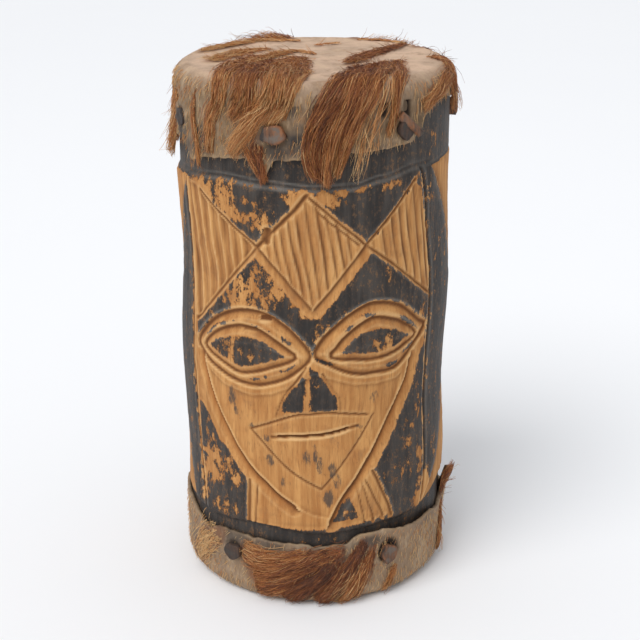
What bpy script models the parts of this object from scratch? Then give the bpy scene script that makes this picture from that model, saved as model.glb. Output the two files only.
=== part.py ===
"""Carved double-headed ritual drum: a hollow wooden tube, two dried hides and the pegs that hold them.

The drum stands upright on its lower hide. The origin is the middle of its underside, +Z is up and the
carved face looks along -Y. Sizes are in metres.

The carving is drawn on the unrolled tube in drawing units, which are millimetres on the real drum:
u runs to the right round the tube and z runs up from the ground. The drawing stretches with the drum.
"""

import math

import bmesh
import bpy
from mathutils import Vector

# Driving sizes
DRUM_HEIGHT = 0.254
SHELL_RADIUS = 0.065
COLLAR_INSET = 0.0014
WALL = 0.0120
RIM_CHAMFER = 0.0043
TOP_COLLAR = 0.0455
BOTTOM_COLLAR = 0.0410
LEDGE_RISE = 0.0035
FIT_GAP = 0.0003

# Hides
HIDE_THICKNESS = 0.0014
RIM_WIDTH = 0.0070
RIM_DEPTH = 0.0095
FLARE_REACH = 0.0030
FLAP_REACH = 0.0040
PEG_TENT = 0.0010

# Pegs
PEG_DEPTH = 0.0090
PEG_REACH = 0.0036
PEG_TAPER = 0.75
TOP_PEG_DROP = 0.0220
BOTTOM_PEG_RISE = 0.0245

# Drawing: the size of the sheet that the carving is drawn on
DRAWN_RADIUS = 65.0
DRAWN_BOTTOM = 41.0
DRAWN_TOP = 208.5
DRAWN_HEIGHT = 254.0
DRAWN_TURN = 2.0 * math.pi * DRAWN_RADIUS
PANEL_MIDDLE = -5.0

# Depth of each kind of cut, and how far a cutter stands out of the wood
PROUD = 0.0008
ROOF = 0.0025
SCRAPE_DEPTH = 0.0007
FLUTE_DEPTH = 0.0013
LINE_DEPTH = 0.0010
GOUGE_DEPTH = 0.0014
BORDER_DEPTH = 0.0013
SLIT_DEPTH = 0.0026

# Width of each kind of cut on either side of its line, in drawing units: the steep side, then the sloping one
BORDER_CUT = (0.9, 2.2)
BEVEL_CUT = (1.0, 5.0)
LID_CUT = (1.2, 2.4)
PUPIL_CUT = (1.8, 1.6)
MOUTH_CUT = (1.6, 1.6)
FACE_CUT = (1.2, 1.2)
NOSE_CUT = (1.3, 1.3)
NECK_CUT = (1.4, 1.4)
BAND_CUT = (1.0, 1.0)
LOZENGE_CUT = (1.8, 1.8)

# The tube is cut by hand: it leans from side to side and swells a little, in drawing units
SWAY_REACH = 0.75
SWAY_START = 60.0
SWAY_LENGTH = 97.0
BELLY_REACH = 0.25
BELLY_START = 52.0
BELLY_LENGTH = 83.0

# Fineness
SHELL_COLUMNS = 56
SHELL_ROWS = 5
HIDE_COLUMNS = 56
COLUMN_OFFSET = 0.37
PATH_STEP = 10.0
LOCK_PLACES = 16

# Lines of the drawing, as (u, z)
UPPER_LEDGE = [(-102, 203), (-67, 205), (-42, 207), (-23, 206), (0, 204.5), (18, 205), (31, 207.5), (50, 210.5),
               (97, 212), (150, 208), (200, 202), (250, 201)]
LOWER_LEDGE = [(-90, 41), (-60, 40), (-26, 42.4), (2, 40), (40, 42), (58, 42.4), (85, 50), (120, 44),
               (180, 40), (240, 42)]
TOP_HEM = [(-95, 222), (-72, 221), (-62, 215), (-52, 218), (-32, 220), (-23, 211), (-17, 220), (0, 222),
           (22, 224), (45, 225), (51, 229), (56, 236), (66, 241), (82, 241), (110, 235), (150, 227),
           (190, 224), (225, 226), (270, 221)]
BOTTOM_HEM = [(-85, 37.5), (-60, 30), (-50, 33.5), (-25, 34), (0, 33), (14, 33), (22, 37.5), (34, 38),
              (45, 36.5), (68, 35.5), (82, 31), (90, 35), (95, 44), (100, 45), (105, 34), (140, 30),
              (180, 33), (220, 29), (270, 36)]

LEFT_BORDER = [(-71.3, 214), (-70.8, 200), (-69.5, 150), (-68, 100), (-66, 60), (-62, 36)]
RIGHT_BORDER = [(50, 220), (53.5, 212), (57, 200), (59.5, 170), (61, 150), (61, 100), (60, 60), (57.5, 37)]

LEFT_CROSS = (-26.5, 180.0)
RIGHT_CROSS = (23.5, 181.0)
BAND_TOP = (-3.0, 205.0)
BAND_FOOT = (-2.0, 152.0)
LEFT_BAND_TOP = [(-67, 204), (-55, 200), LEFT_CROSS]
LEFT_BAND_FOOT = [(-67, 136), (-62, 141), LEFT_CROSS]
RIGHT_BAND_TOP = [RIGHT_CROSS, (51, 206), (58, 206)]
RIGHT_BAND_FOOT = [RIGHT_CROSS, (58, 152.5)]
MIDDLE_BAND_TOP = [LEFT_CROSS, BAND_TOP, RIGHT_CROSS]
MIDDLE_BAND_FOOT = [LEFT_CROSS, BAND_FOOT, RIGHT_CROSS]

LEFT_EYE = [(-60, 127), (-58, 135), (-50, 143), (-40, 148), (-30, 149.5), (-20, 147.5), (-10, 140), (-2, 129.5),
            (-10, 121), (-20, 116), (-30, 114), (-45, 116), (-57, 121)]
LEFT_PUPIL = [(-57, 127.5), (-49, 134), (-35, 139), (-24, 138), (-15, 133), (-10.5, 128.7),
              (-20, 123.5), (-32, 119.5), (-47, 122)]
RIGHT_EYE = [(2, 130), (4, 137), (9, 143), (16, 149), (26, 153), (35, 152.5), (45, 148), (54, 140), (57, 134),
             (49, 126), (41, 120.5), (30, 120), (20, 121), (9, 125)]
RIGHT_PUPIL = [(8.5, 129.3), (15, 138), (23, 143), (31, 143.5), (40, 140.5), (50, 134), (43, 129), (30, 126.5),
               (19, 128)]

FACE_LEFT = [(-61, 122), (-58, 113), (-52, 100), (-46, 89), (-38, 77), (-30, 68.5), (-20, 60), (-7, 50)]
FACE_RIGHT = [(52, 124), (48, 113), (43, 104), (36, 93), (28, 80), (20, 68), (12, 57), (5, 43)]
FACE_FOOT = [(-57, 113), (-52, 101), (-46, 90), (-38, 78), (-30, 69.5), (-20, 61), (-9, 54), (3, 50), (12, 58),
             (20, 69), (28, 81), (36, 94), (43, 105), (47, 113)]
FACE_TOP = [(-57, 115), (-45, 112), (-30, 110), (-18.2, 111), (-17, 102), (12, 103), (13.2, 117), (30, 116),
            (41, 116.5), (47, 118)]
UPPER_LIP = [(-31, 91), (-20, 96), (-10, 100), (0, 101.5), (10, 101.5), (20, 100), (27, 98.5)]
MOUTH = [(-21, 87.8), (-10, 89.5), (0, 90), (10, 91), (21, 93.8)]
CHIN = [(-28, 87), (-20, 79), (-10, 70), (2.5, 63.5), (10, 72), (19, 84), (27, 95)]
NOSE_SIDES = [[(-5, 121), (-17.5, 100.5)], [(5, 120), (12.5, 101.5)]]
NECK_LINES = [[(-33, 64), (-33, 44)], [(-27, 61), (-27, 44)], [(27, 70), (38, 45)], [(21, 64), (29, 45)]]

SIDE_ARC_CENTRE = (-38.0, 129.0)
SIDE_ARC_RADIUS = 130.4
LOZENGE_HEIGHT = 94.0
LOZENGE_OUTLINE = (44.0, 42.0)
LOZENGE_FLUTES = (33.0, 31.0)

# Locks of hair, as (start, bend, end, width, height) in millimetres on the flattened hide, seen from above
TOP_LOCKS = [
    ((-32, 34), (-40, 0), (-54, -60), 12, 2.2),
    ((-22, 30), (-30, -5), (-38, -74), 11, 1.8),
    ((-10, 24), (-18, -10), (-24, -86), 12, 2.4),
    ((-3, 14), (-6, -20), (-8, -92), 10, 2.0),
    ((42, 38), (28, 0), (12, -92), 12, 2.6),
    ((38, 8), (36, -25), (30, -78), 10, 1.8),
    ((58, 14), (70, -18), (62, -60), 12, 2.2),
    ((-8, 52), (-32, 60), (-56, 42), 14, 3.6),
    ((10, 62), (26, 66), (44, 54), 10, 1.4),
    ((-60, 14), (-78, 0), (-88, -26), 14, 4.2),
    ((-58, -10), (-72, -22), (-82, -44), 12, 2.8),
]
BOTTOM_LOCKS = [
    ((-40, -64), (-30, -74), (-4, -82), 11, 2.0),
    ((4, -64), (10, -76), (22, -90), 11, 2.4),
    ((28, -64), (34, -72), (42, -84), 9, 1.4),
    ((-64, -24), (-68, -40), (-58, -58), 11, 1.6),
    ((60, 34), (74, 34), (86, 40), 12, 1.8),
    ((-50, 60), (-56, 66), (-70, 64), 12, 1.8),
]

# Pegs, as (degrees round the drum, half width, half height)
TOP_PEGS = [(-10.6, 0.0058, 0.0042), (40.8, 0.0040, 0.0046), (92.3, 0.0048, 0.0042), (143.7, 0.0045, 0.0045),
            (195.1, 0.0050, 0.0040), (246.6, 0.0046, 0.0044), (298.0, 0.0050, 0.0040)]
BOTTOM_PEGS = [(-31.6, 0.0048, 0.0042), (36.4, 0.0042, 0.0050), (100.4, 0.0046, 0.0044), (169.4, 0.0048, 0.0042),
               (264.4, 0.0044, 0.0046)]
PEG_SIDES = 6

# Sizes worked out from the driving ones
FRONT = 0.0
BACK = math.pi
COLLAR_RADIUS = SHELL_RADIUS - COLLAR_INSET
BORE_RADIUS = SHELL_RADIUS - WALL
SHELL_BOTTOM = HIDE_THICKNESS + FIT_GAP
SHELL_TOP = DRUM_HEIGHT - HIDE_THICKNESS - FIT_GAP
SKIRT_INNER = COLLAR_RADIUS + FIT_GAP
SKIRT_OUTER = SKIRT_INNER + HIDE_THICKNESS
PEG_TIP = COLLAR_RADIUS - PEG_DEPTH
PEG_HEAD = SKIRT_OUTER + PEG_REACH
UNIT = SHELL_RADIUS / DRAWN_RADIUS


def clear_scene():
    """Remove every object that the file starts with."""
    for item in list(bpy.data.objects):
        bpy.data.objects.remove(item, do_unlink=True)


def material(name, colour, roughness):
    """Return a plain material with the piece's own colour."""
    made = bpy.data.materials.new(name)
    made.use_nodes = True
    shader = made.node_tree.nodes["Principled BSDF"]
    shader.inputs["Base Color"].default_value = (*colour, 1.0)
    shader.inputs["Roughness"].default_value = roughness
    shader.inputs["Metallic"].default_value = 0.0
    made.diffuse_color = (*colour, 1.0)
    return made


def finished_object(name, mesh_builder, surface=None):
    """Turn a bmesh into an object with its faces pointing out."""
    bmesh.ops.recalc_face_normals(mesh_builder, faces=mesh_builder.faces)
    mesh = bpy.data.meshes.new(name)
    mesh_builder.to_mesh(mesh)
    mesh_builder.free()
    made = bpy.data.objects.new(name, mesh)
    bpy.context.scene.collection.objects.link(made)
    if surface:
        mesh.materials.append(surface)
    return made


def cutter_object(name, mesh_builder):
    """Turn a bmesh into a hidden cutter."""
    made = finished_object(name, mesh_builder)
    made.hide_render = True
    made.display_type = "WIRE"
    return made


def add_boolean(target, tool, operation, overlapping=False):
    """Cut or join a piece with another closed shape, whose own shells may overlap each other."""
    modifier = target.modifiers.new(tool.name, "BOOLEAN")
    modifier.operation = operation
    modifier.solver = "EXACT"
    modifier.use_self = overlapping
    modifier.object = tool


def level(z):
    """Return the real height of a drawn height: each collar and the panels stretch by themselves."""
    if z < DRAWN_BOTTOM:
        return BOTTOM_COLLAR * z / DRAWN_BOTTOM
    if z > DRAWN_TOP:
        return DRUM_HEIGHT - TOP_COLLAR * (DRAWN_HEIGHT - z) / (DRAWN_HEIGHT - DRAWN_TOP)
    share = (z - DRAWN_BOTTOM) / (DRAWN_TOP - DRAWN_BOTTOM)
    return BOTTOM_COLLAR + share * (DRUM_HEIGHT - TOP_COLLAR - BOTTOM_COLLAR)


def sway(z):
    """Return how far the hand-cut tube leans to the right at a drawn height."""
    return SWAY_REACH * UNIT * math.cos(2.0 * math.pi * (z - SWAY_START) / SWAY_LENGTH)


def belly(z):
    """Return how far the hand-cut tube swells at a drawn height."""
    return BELLY_REACH * UNIT * math.cos(2.0 * math.pi * (z - BELLY_START) / BELLY_LENGTH)


def turn_at(u, face=FRONT):
    """Return the angle round the drum of a drawn column, from -Y towards +X."""
    return (u - PANEL_MIDDLE) / DRAWN_RADIUS + face


def on_circle(angle, radius, height):
    """Return a point at an angle round the drum's axis."""
    return Vector((radius * math.sin(angle), -radius * math.cos(angle), height))


def on_shell(u, z, lift=0.0, face=FRONT):
    """Return the point of the carved surface under a drawn point, `lift` metres out of the wood."""
    point = on_circle(turn_at(u, face), SHELL_RADIUS + belly(z) + lift, level(z))
    point.x += sway(z)
    return point


def eased(share):
    """Return a share that starts and stops gently."""
    return share * share * (3.0 - 2.0 * share)


def round_line(knots, u):
    """Return the height at a column of a line that runs all the way round the drum."""
    start = knots[0][0]
    column = (u - start) % DRAWN_TURN + start
    ring = knots + [(start + DRAWN_TURN, knots[0][1])]
    for (left, low), (right, high) in zip(ring, ring[1:]):
        if column <= right:
            return low + (high - low) * eased((column - left) / (right - left))
    return knots[0][1]


def line_height(points, u):
    """Return the height of a drawn open line at a column, held level past its ends."""
    if u <= points[0][0]:
        return points[0][1]
    for (left, low), (right, high) in zip(points, points[1:]):
        if u <= right:
            return low + (high - low) * (u - left) / (right - left)
    return points[-1][1]


def curve_through(points, closed):
    """Return points a step apart on a smooth curve through drawn points."""
    count = len(points)
    spans = count if closed else count - 1
    path = []
    for index in range(spans):
        before, here, there, after = (
            Vector(points[(index + shift) % count if closed else min(max(index + shift, 0), count - 1)])
            for shift in (-1, 0, 1, 2)
        )
        pieces = max(1, round((there - here).length / PATH_STEP))
        for piece in range(pieces):
            share = piece / pieces
            slope_here = (there - before) * 0.5
            slope_there = (after - here) * 0.5
            rise = there - here
            bend = rise * 3.0 - slope_here * 2.0 - slope_there
            twist = slope_here + slope_there - rise * 2.0
            path.append(here + slope_here * share + bend * share ** 2 + twist * share ** 3)
    if not closed:
        path.append(Vector(points[-1]))
    return path


def skin(builder, rings, closed):
    """Join rings of vertices into a tube; an open tube's single end vertices become its tips."""
    pairs = list(zip(rings, rings[1:] + rings[:1])) if closed else list(zip(rings, rings[1:]))
    for near, far in pairs:
        sides = max(len(near), len(far))
        for side in range(sides):
            following = (side + 1) % sides
            corners = [near[side % len(near)], near[following % len(near)],
                       far[following % len(far)], far[side % len(far)]]
            unique = list(dict.fromkeys(corners))
            builder.faces.new(unique)


def groove(builder, path, widths, depth, closed=False, face=FRONT, flat=0.0):
    """Add a V cut along a drawn path, with its width on the left and right; its open ends run out to nothing.

    With `flat`, the cut has a level floor that many units wide, as a round gouge leaves.
    """
    count = len(path)
    left, right = (width * (depth + PROUD) / depth for width in widths)
    rings = []
    for index, place in enumerate(path):
        if not closed and index in (0, count - 1):
            rings.append([builder.verts.new(on_shell(place.x, place.y, PROUD, face))])
            continue
        ahead = path[(index + 1) % count]
        behind = path[(index - 1) % count]
        along = (ahead - behind).normalized()
        across = Vector((-along.y, along.x))
        section = [(left, PROUD), (-right, PROUD)]
        if flat:
            section += [(-flat * 0.5, -depth), (flat * 0.5, -depth)]
        else:
            section += [(0.0, -depth)]
        ring = []
        for side, lift in section:
            spot = place + across * side
            ring.append(builder.verts.new(on_shell(spot.x, spot.y, lift, face)))
        rings.append(ring)
    skin(builder, rings, closed)


def patch(builder, grid, depth, face=FRONT):
    """Add a scraped field: a cut with a level floor under a grid of drawn points."""
    rows = len(grid)
    columns = len(grid[0])
    floor = [[builder.verts.new(on_shell(u, z, -depth, face)) for u, z in row] for row in grid]
    roof = [[builder.verts.new(on_shell(u, z, ROOF, face)) for u, z in row] for row in grid]
    for row in range(rows - 1):
        for column in range(columns - 1):
            for sheet in (floor, roof):
                builder.faces.new((sheet[row][column], sheet[row][column + 1],
                                   sheet[row + 1][column + 1], sheet[row + 1][column]))
    edge = [(0, column) for column in range(columns)]
    edge += [(row, columns - 1) for row in range(1, rows)]
    edge += [(rows - 1, column) for column in range(columns - 2, -1, -1)]
    edge += [(row, 0) for row in range(rows - 2, 0, -1)]
    for (row, column), (next_row, next_column) in zip(edge, edge[1:] + edge[:1]):
        builder.faces.new((floor[row][column], floor[next_row][next_column],
                           roof[next_row][next_column], roof[row][column]))


def straight(start, end, parts=4):
    """Return points along a straight drawn line."""
    first = Vector(start)
    last = Vector(end)
    return [first.lerp(last, index / parts) for index in range(parts + 1)]


def flute(builder, column, top_line, foot_line, width, lean, face, flat=0.0):
    """Add one upright flute between two drawn lines."""
    top = line_height(top_line, column - lean) - 1.0
    foot = line_height(foot_line, column + lean) + 1.0
    if top - foot < 5.0:
        return
    path = straight((column - lean, top), (column + lean, foot))
    groove(builder, path, (width * 0.5, width * 0.5), FLUTE_DEPTH, face=face, flat=flat)


def build_tube():
    """Build the plain tube with its collars and ledges, before any carving."""
    builder = bmesh.new()
    columns = []
    for index in range(SHELL_COLUMNS):
        angle = 2.0 * math.pi * (index + COLUMN_OFFSET) / SHELL_COLUMNS
        u = angle * DRAWN_RADIUS + PANEL_MIDDLE
        low = round_line(LOWER_LEDGE, u)
        high = round_line(UPPER_LEDGE, u)
        profile = [
            on_circle(angle, COLLAR_RADIUS - RIM_CHAMFER, SHELL_BOTTOM),
            on_circle(angle, COLLAR_RADIUS, SHELL_BOTTOM + RIM_CHAMFER),
            on_circle(angle, COLLAR_RADIUS, level(low) - LEDGE_RISE * 0.5),
        ]
        profile += [on_shell(u, low + (high - low) * row / SHELL_ROWS) for row in range(SHELL_ROWS + 1)]
        profile += [
            on_circle(angle, COLLAR_RADIUS, level(high) + LEDGE_RISE),
            on_circle(angle, COLLAR_RADIUS, SHELL_TOP - RIM_CHAMFER),
            on_circle(angle, COLLAR_RADIUS - RIM_CHAMFER, SHELL_TOP),
            on_circle(angle, BORE_RADIUS, SHELL_TOP),
            on_circle(angle, BORE_RADIUS, SHELL_BOTTOM),
        ]
        columns.append([builder.verts.new(point) for point in profile])
    skin(builder, columns, closed=True)
    return finished_object("drum_body", builder, material("carved_wood", (0.10, 0.065, 0.045), 0.62))


def side_arc(z):
    """Return how far right the black half-moon beside the front panel reaches at a drawn height."""
    centre_u, centre_z = SIDE_ARC_CENTRE
    return centre_u + math.sqrt(SIDE_ARC_RADIUS ** 2 - (z - centre_z) ** 2)


def cut_scraped_fields(builder):
    """Cut the bare fields: the face, and the hourglass between the half-moons on each side."""
    face_columns = [FACE_FOOT[0][0] + 5.2 * index for index in range(21)]
    face_columns = sorted(face_columns + [-17.0, -18.2, 12.0, 13.2])
    patch(builder, [[(u, line_height(FACE_FOOT, u)) for u in face_columns],
                    [(u, line_height(FACE_TOP, u)) for u in face_columns]], SCRAPE_DEPTH)
    half_turn = DRAWN_TURN / 2.0
    for face in (FRONT, BACK):
        grid = []
        for row in range(10):
            z = 36.0 + row * 20.0
            left = side_arc(z)
            right = half_turn + 2.0 * PANEL_MIDDLE - left
            grid.append([(left + (right - left) * column / 8, z) for column in range(9)])
        patch(builder, grid, SCRAPE_DEPTH, face)


def cut_band_flutes(builder, face):
    """Cut the upright flutes of the diamond band, wider apart on the plainer back."""
    pitch = 5 if face == FRONT else 8
    width = 0.72 * pitch
    for column in range(-64, -32, pitch + 1):
        flute(builder, column, LEFT_BAND_TOP, LEFT_BAND_FOOT, width, 1.0, face, flat=1.4)
    for column in range(-18, 19, pitch):
        flute(builder, column, MIDDLE_BAND_TOP, MIDDLE_BAND_FOOT, width, 1.6, face)
    for column in range(34, 58, pitch):
        flute(builder, column, RIGHT_BAND_TOP, RIGHT_BAND_FOOT, width, 1.4, face)


def cut_borders(builder, face):
    """Cut the borders of a panel: steep at the panel, sloping away outside."""
    groove(builder, curve_through(LEFT_BORDER, False)[::-1], BORDER_CUT, BORDER_DEPTH, face=face)
    groove(builder, curve_through(RIGHT_BORDER, False), BORDER_CUT[::-1], BORDER_DEPTH, face=face)


def cut_band_lines(builder):
    """Cut the crossed lines of the front panel's diamond band."""
    for line in (LEFT_BAND_TOP, LEFT_BAND_FOOT, RIGHT_BAND_TOP, RIGHT_BAND_FOOT):
        groove(builder, curve_through(line, False), BAND_CUT, LINE_DEPTH)
    for cross in (LEFT_CROSS, RIGHT_CROSS):
        for end in (BAND_TOP, BAND_FOOT):
            groove(builder, straight(cross, end, 3), BAND_CUT, LINE_DEPTH)


def cut_face_outline(builder):
    """Cut the wide bevel round the mask face: steep at the face, sloping away outside."""
    groove(builder, curve_through(FACE_LEFT, False), BEVEL_CUT, GOUGE_DEPTH)
    groove(builder, curve_through(FACE_RIGHT, False), BEVEL_CUT[::-1], GOUGE_DEPTH)
    for line in NECK_LINES:
        groove(builder, straight(*line, 2), NECK_CUT, LINE_DEPTH)


def cut_eyes(builder):
    """Cut two rings for each eye: a gouge round the lids, and the hollow round the pupil."""
    for lids, pupil in ((LEFT_EYE, LEFT_PUPIL), (RIGHT_EYE, RIGHT_PUPIL)):
        groove(builder, curve_through(lids, True), LID_CUT, GOUGE_DEPTH, closed=True)
        groove(builder, curve_through(pupil, True), PUPIL_CUT, GOUGE_DEPTH, closed=True)


def cut_mouth(builder):
    """Cut the open mouth, the upper lip, the chin and the sides of the nose."""
    groove(builder, curve_through(MOUTH, False), MOUTH_CUT, SLIT_DEPTH)
    groove(builder, curve_through(UPPER_LIP, False), FACE_CUT, LINE_DEPTH + SCRAPE_DEPTH)
    groove(builder, curve_through(CHIN, False), FACE_CUT, LINE_DEPTH + SCRAPE_DEPTH)
    for side in NOSE_SIDES:
        groove(builder, straight(*side, 3), NOSE_CUT, GOUGE_DEPTH)


def lozenge(half_width, half_height):
    """Return the right, top, left and bottom corners of a lozenge on the back panel."""
    middle = (PANEL_MIDDLE, LOZENGE_HEIGHT)
    return [(middle[0] + half_width, middle[1]), (middle[0], middle[1] + half_height),
            (middle[0] - half_width, middle[1]), (middle[0], middle[1] - half_height)]


def cut_back_lozenge(builder):
    """Cut the plainer back panel: one lozenge with flutes inside it."""
    corners = lozenge(*LOZENGE_OUTLINE)
    ring = []
    for start, end in zip(corners, corners[1:] + corners[:1]):
        ring += straight(start, end, 5)[:-1]
    groove(builder, ring, LOZENGE_CUT, GOUGE_DEPTH, closed=True, face=BACK)
    right, top, left, foot = lozenge(*LOZENGE_FLUTES)
    for step in range(-3, 4):
        flute(builder, PANEL_MIDDLE + step * 8.0, [left, top, right], [left, foot, right], 4.6, 0.6, BACK)


def peg_places():
    """Return the name, angle, height and half sizes of every peg."""
    places = []
    for rank, (degrees, width, height) in enumerate(TOP_PEGS, start=1):
        places.append((f"top_peg_{rank}", math.radians(degrees), DRUM_HEIGHT - TOP_PEG_DROP, width, height))
    for rank, (degrees, width, height) in enumerate(BOTTOM_PEGS, start=1):
        places.append((f"bottom_peg_{rank}", math.radians(degrees), BOTTOM_PEG_RISE, width, height))
    return places


def peg_rings(builder, angle, height, half_width, half_height, profile):
    """Skin a peg that points out of the drum; `profile` holds (distance from the axis, share of size)."""
    outward = on_circle(angle, 1.0, 0.0)
    sideways = Vector((math.cos(angle), math.sin(angle), 0.0))
    rings = []
    for distance, share in profile:
        ring = []
        for side in range(PEG_SIDES):
            turn = 2.0 * math.pi * (side + 0.5) / PEG_SIDES
            spot = outward * distance + sideways * (half_width * share * math.cos(turn))
            spot.z = height + half_height * share * math.sin(turn)
            ring.append(builder.verts.new(spot))
        rings.append(ring)
    skin(builder, rings, closed=False)
    builder.faces.new(rings[0])
    builder.faces.new(rings[-1][::-1])


def build_pegs():
    """Build the pegs."""
    surface = material("peg_wood", (0.30, 0.16, 0.08), 0.6)
    for name, angle, height, half_width, half_height in peg_places():
        builder = bmesh.new()
        profile = [(PEG_TIP, PEG_TAPER), (SKIRT_OUTER, 0.96), (PEG_HEAD - 0.0012, 1.0), (PEG_HEAD, 0.80)]
        peg_rings(builder, angle, height, half_width, half_height, profile)
        finished_object(name, builder, surface)


def cut_peg_holes(builder):
    """Add the holes that the pegs are driven into; their gap is measured at the middle of a flat side."""
    room = FIT_GAP / math.cos(math.pi / PEG_SIDES) * 1.15
    profile = [(PEG_TIP - FIT_GAP, PEG_TAPER), (SKIRT_OUTER, 0.96), (PEG_HEAD + 0.004, 1.04)]
    for _, angle, height, half_width, half_height in peg_places():
        peg_rings(builder, angle, height, half_width + room, half_height + room, profile)


def build_carving():
    """Build one cutter that holds every cut of the carving."""
    builder = bmesh.new()
    cut_scraped_fields(builder)
    for face in (FRONT, BACK):
        cut_band_flutes(builder, face)
        cut_borders(builder, face)
    cut_band_lines(builder)
    cut_face_outline(builder)
    cut_eyes(builder)
    cut_mouth(builder)
    cut_back_lozenge(builder)
    cut_peg_holes(builder)
    return cutter_object("carving", builder)


def hide_point(distance, angle, lift, top):
    """Return a point of a hide's outer skin, `distance` along it from the middle of its face."""
    flat = SKIRT_OUTER - RIM_WIDTH
    bend = math.pi * 0.25 * (RIM_WIDTH + RIM_DEPTH)
    if distance <= flat:
        radius, drop, rise, out = distance, 0.0, lift, 0.0
    elif distance <= flat + bend:
        turn = (distance - flat) / bend * math.pi * 0.5
        radius = flat + RIM_WIDTH * math.sin(turn)
        drop = RIM_DEPTH * (1.0 - math.cos(turn))
        rise, out = lift * math.cos(turn), lift * math.sin(turn)
    else:
        radius, drop, rise, out = SKIRT_OUTER, distance - flat - bend + RIM_DEPTH, 0.0, lift
    height = drop - rise
    return on_circle(angle, radius + out, DRUM_HEIGHT - height if top else height)


def hem_drop(u, top):
    """Return how far a hide's edge is from its face at a drawn column."""
    if top:
        return DRUM_HEIGHT - level(round_line(TOP_HEM, u))
    return level(round_line(BOTTOM_HEM, u))


def bump(value, middle, width):
    """Return a soft bump, 1 at its middle and 0 past its width."""
    share = abs(value - middle) / width
    return eased(1.0 - share) if share < 1.0 else 0.0


def skirt_swell(u, share, top):
    """Return how far a hide stands off the tube at a share of its skirt's depth."""
    if top:
        lean = 0.0010 * bump(u, -62.0, 14.0) + 0.0008 * bump(u, 20.0, 30.0)
    else:
        lean = FLARE_REACH * bump(u, 46.0, 40.0) + FLAP_REACH * bump(u, 98.0, 9.0)
    return lean * share ** 2


def tent(angle, drop, top):
    """Return how far a hide is pushed out beside a peg."""
    pegs = TOP_PEGS if top else BOTTOM_PEGS
    middle = TOP_PEG_DROP if top else BOTTOM_PEG_RISE
    push = 0.0
    for degrees, half_width, _ in pegs:
        away = (angle - math.radians(degrees) + math.pi) % (2.0 * math.pi) - math.pi
        push += bump(away * SHELL_RADIUS, 0.0, half_width * 2.4) * bump(drop, middle, half_width * 2.4)
    return PEG_TENT * push


def lock_lift(spot, locks):
    """Return how high the hair stands at a spot of the flattened hide, in millimetres."""
    lift = 0.0
    for start, bend, end, width, height in locks:
        first, middle, last = Vector(start), Vector(bend), Vector(end)
        for index in range(LOCK_PLACES + 1):
            share = index / LOCK_PLACES
            place = first * (1 - share) ** 2 + middle * 2 * share * (1 - share) + last * share ** 2
            fullness = math.sin(math.pi * (0.08 + 0.84 * share))
            lift = max(lift, height * fullness * bump((spot - place).length, 0.0, width * 0.75))
    return lift


def build_hide(name, top, surface):
    """Build one hide: a disc with a rounded rim and a skirt that ends in a ragged edge."""
    builder = bmesh.new()
    flat = SKIRT_OUTER - RIM_WIDTH
    bend = math.pi * 0.25 * (RIM_WIDTH + RIM_DEPTH)
    shoulder = RIM_CHAMFER + HIDE_THICKNESS + FIT_GAP * 0.5
    locks = TOP_LOCKS if top else BOTTOM_LOCKS
    # The lower face is the foot that the drum stands on, so it stays flat
    rings = [flat * share for share in (0.22, 0.42, 0.62, 0.81)] if top else []
    rings += [flat, flat + bend * 0.5, flat + bend]
    columns = []
    for index in range(HIDE_COLUMNS):
        angle = 2.0 * math.pi * index / HIDE_COLUMNS
        u = angle * DRAWN_RADIUS + PANEL_MIDDLE
        drawn_angle = u / DRAWN_RADIUS
        depth = hem_drop(u, top) - RIM_DEPTH
        places = [(ring, 0.0) for ring in rings]
        places += [(flat + bend + depth * share, share) for share in (0.36, 0.7, 1.0)]
        column = []
        for distance, share in places:
            spot = Vector((math.sin(drawn_angle), -math.cos(drawn_angle))) * (distance / UNIT)
            lift = lock_lift(spot, locks) * 0.001 if top or distance > flat + bend * 0.2 else 0.0
            lift += skirt_swell(u, share, top) + tent(angle, RIM_DEPTH + depth * share, top)
            column.append(builder.verts.new(hide_point(distance, angle, lift, top)))
        inner = [(SKIRT_INNER + skirt_swell(u, share, top), RIM_DEPTH + depth * share) for share in (1.0, 0.5)]
        inner += [(SKIRT_INNER, shoulder), (SKIRT_INNER - shoulder + HIDE_THICKNESS, HIDE_THICKNESS)]
        for radius, drop in inner:
            column.append(builder.verts.new(on_circle(angle, radius, DRUM_HEIGHT - drop if top else drop)))
        columns.append(column)
    for near, far in zip(columns, columns[1:] + columns[:1]):
        for row in range(len(near) - 1):
            builder.faces.new((near[row], near[row + 1], far[row + 1], far[row]))
    builder.faces.new([column[0] for column in columns])
    builder.faces.new([column[-1] for column in columns])
    return finished_object(name, builder, surface)


def build_drum():
    """Build every piece of the drum."""
    clear_scene()
    build_pegs()
    add_boolean(build_tube(), build_carving(), "DIFFERENCE", overlapping=True)
    hole_builder = bmesh.new()
    cut_peg_holes(hole_builder)
    holes = cutter_object("peg_holes", hole_builder)
    surface = material("goat_hide", (0.52, 0.40, 0.30), 0.75)
    for name, top in (("top_head", True), ("bottom_head", False)):
        add_boolean(build_hide(name, top, surface), holes, "DIFFERENCE")


build_drum()
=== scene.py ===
"""Looks of a small carved ritual drum: worn black paint over wood, goat hides with their hair, and pegs."""
import logging
import math
from dataclasses import dataclass
from enum import Enum

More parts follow.
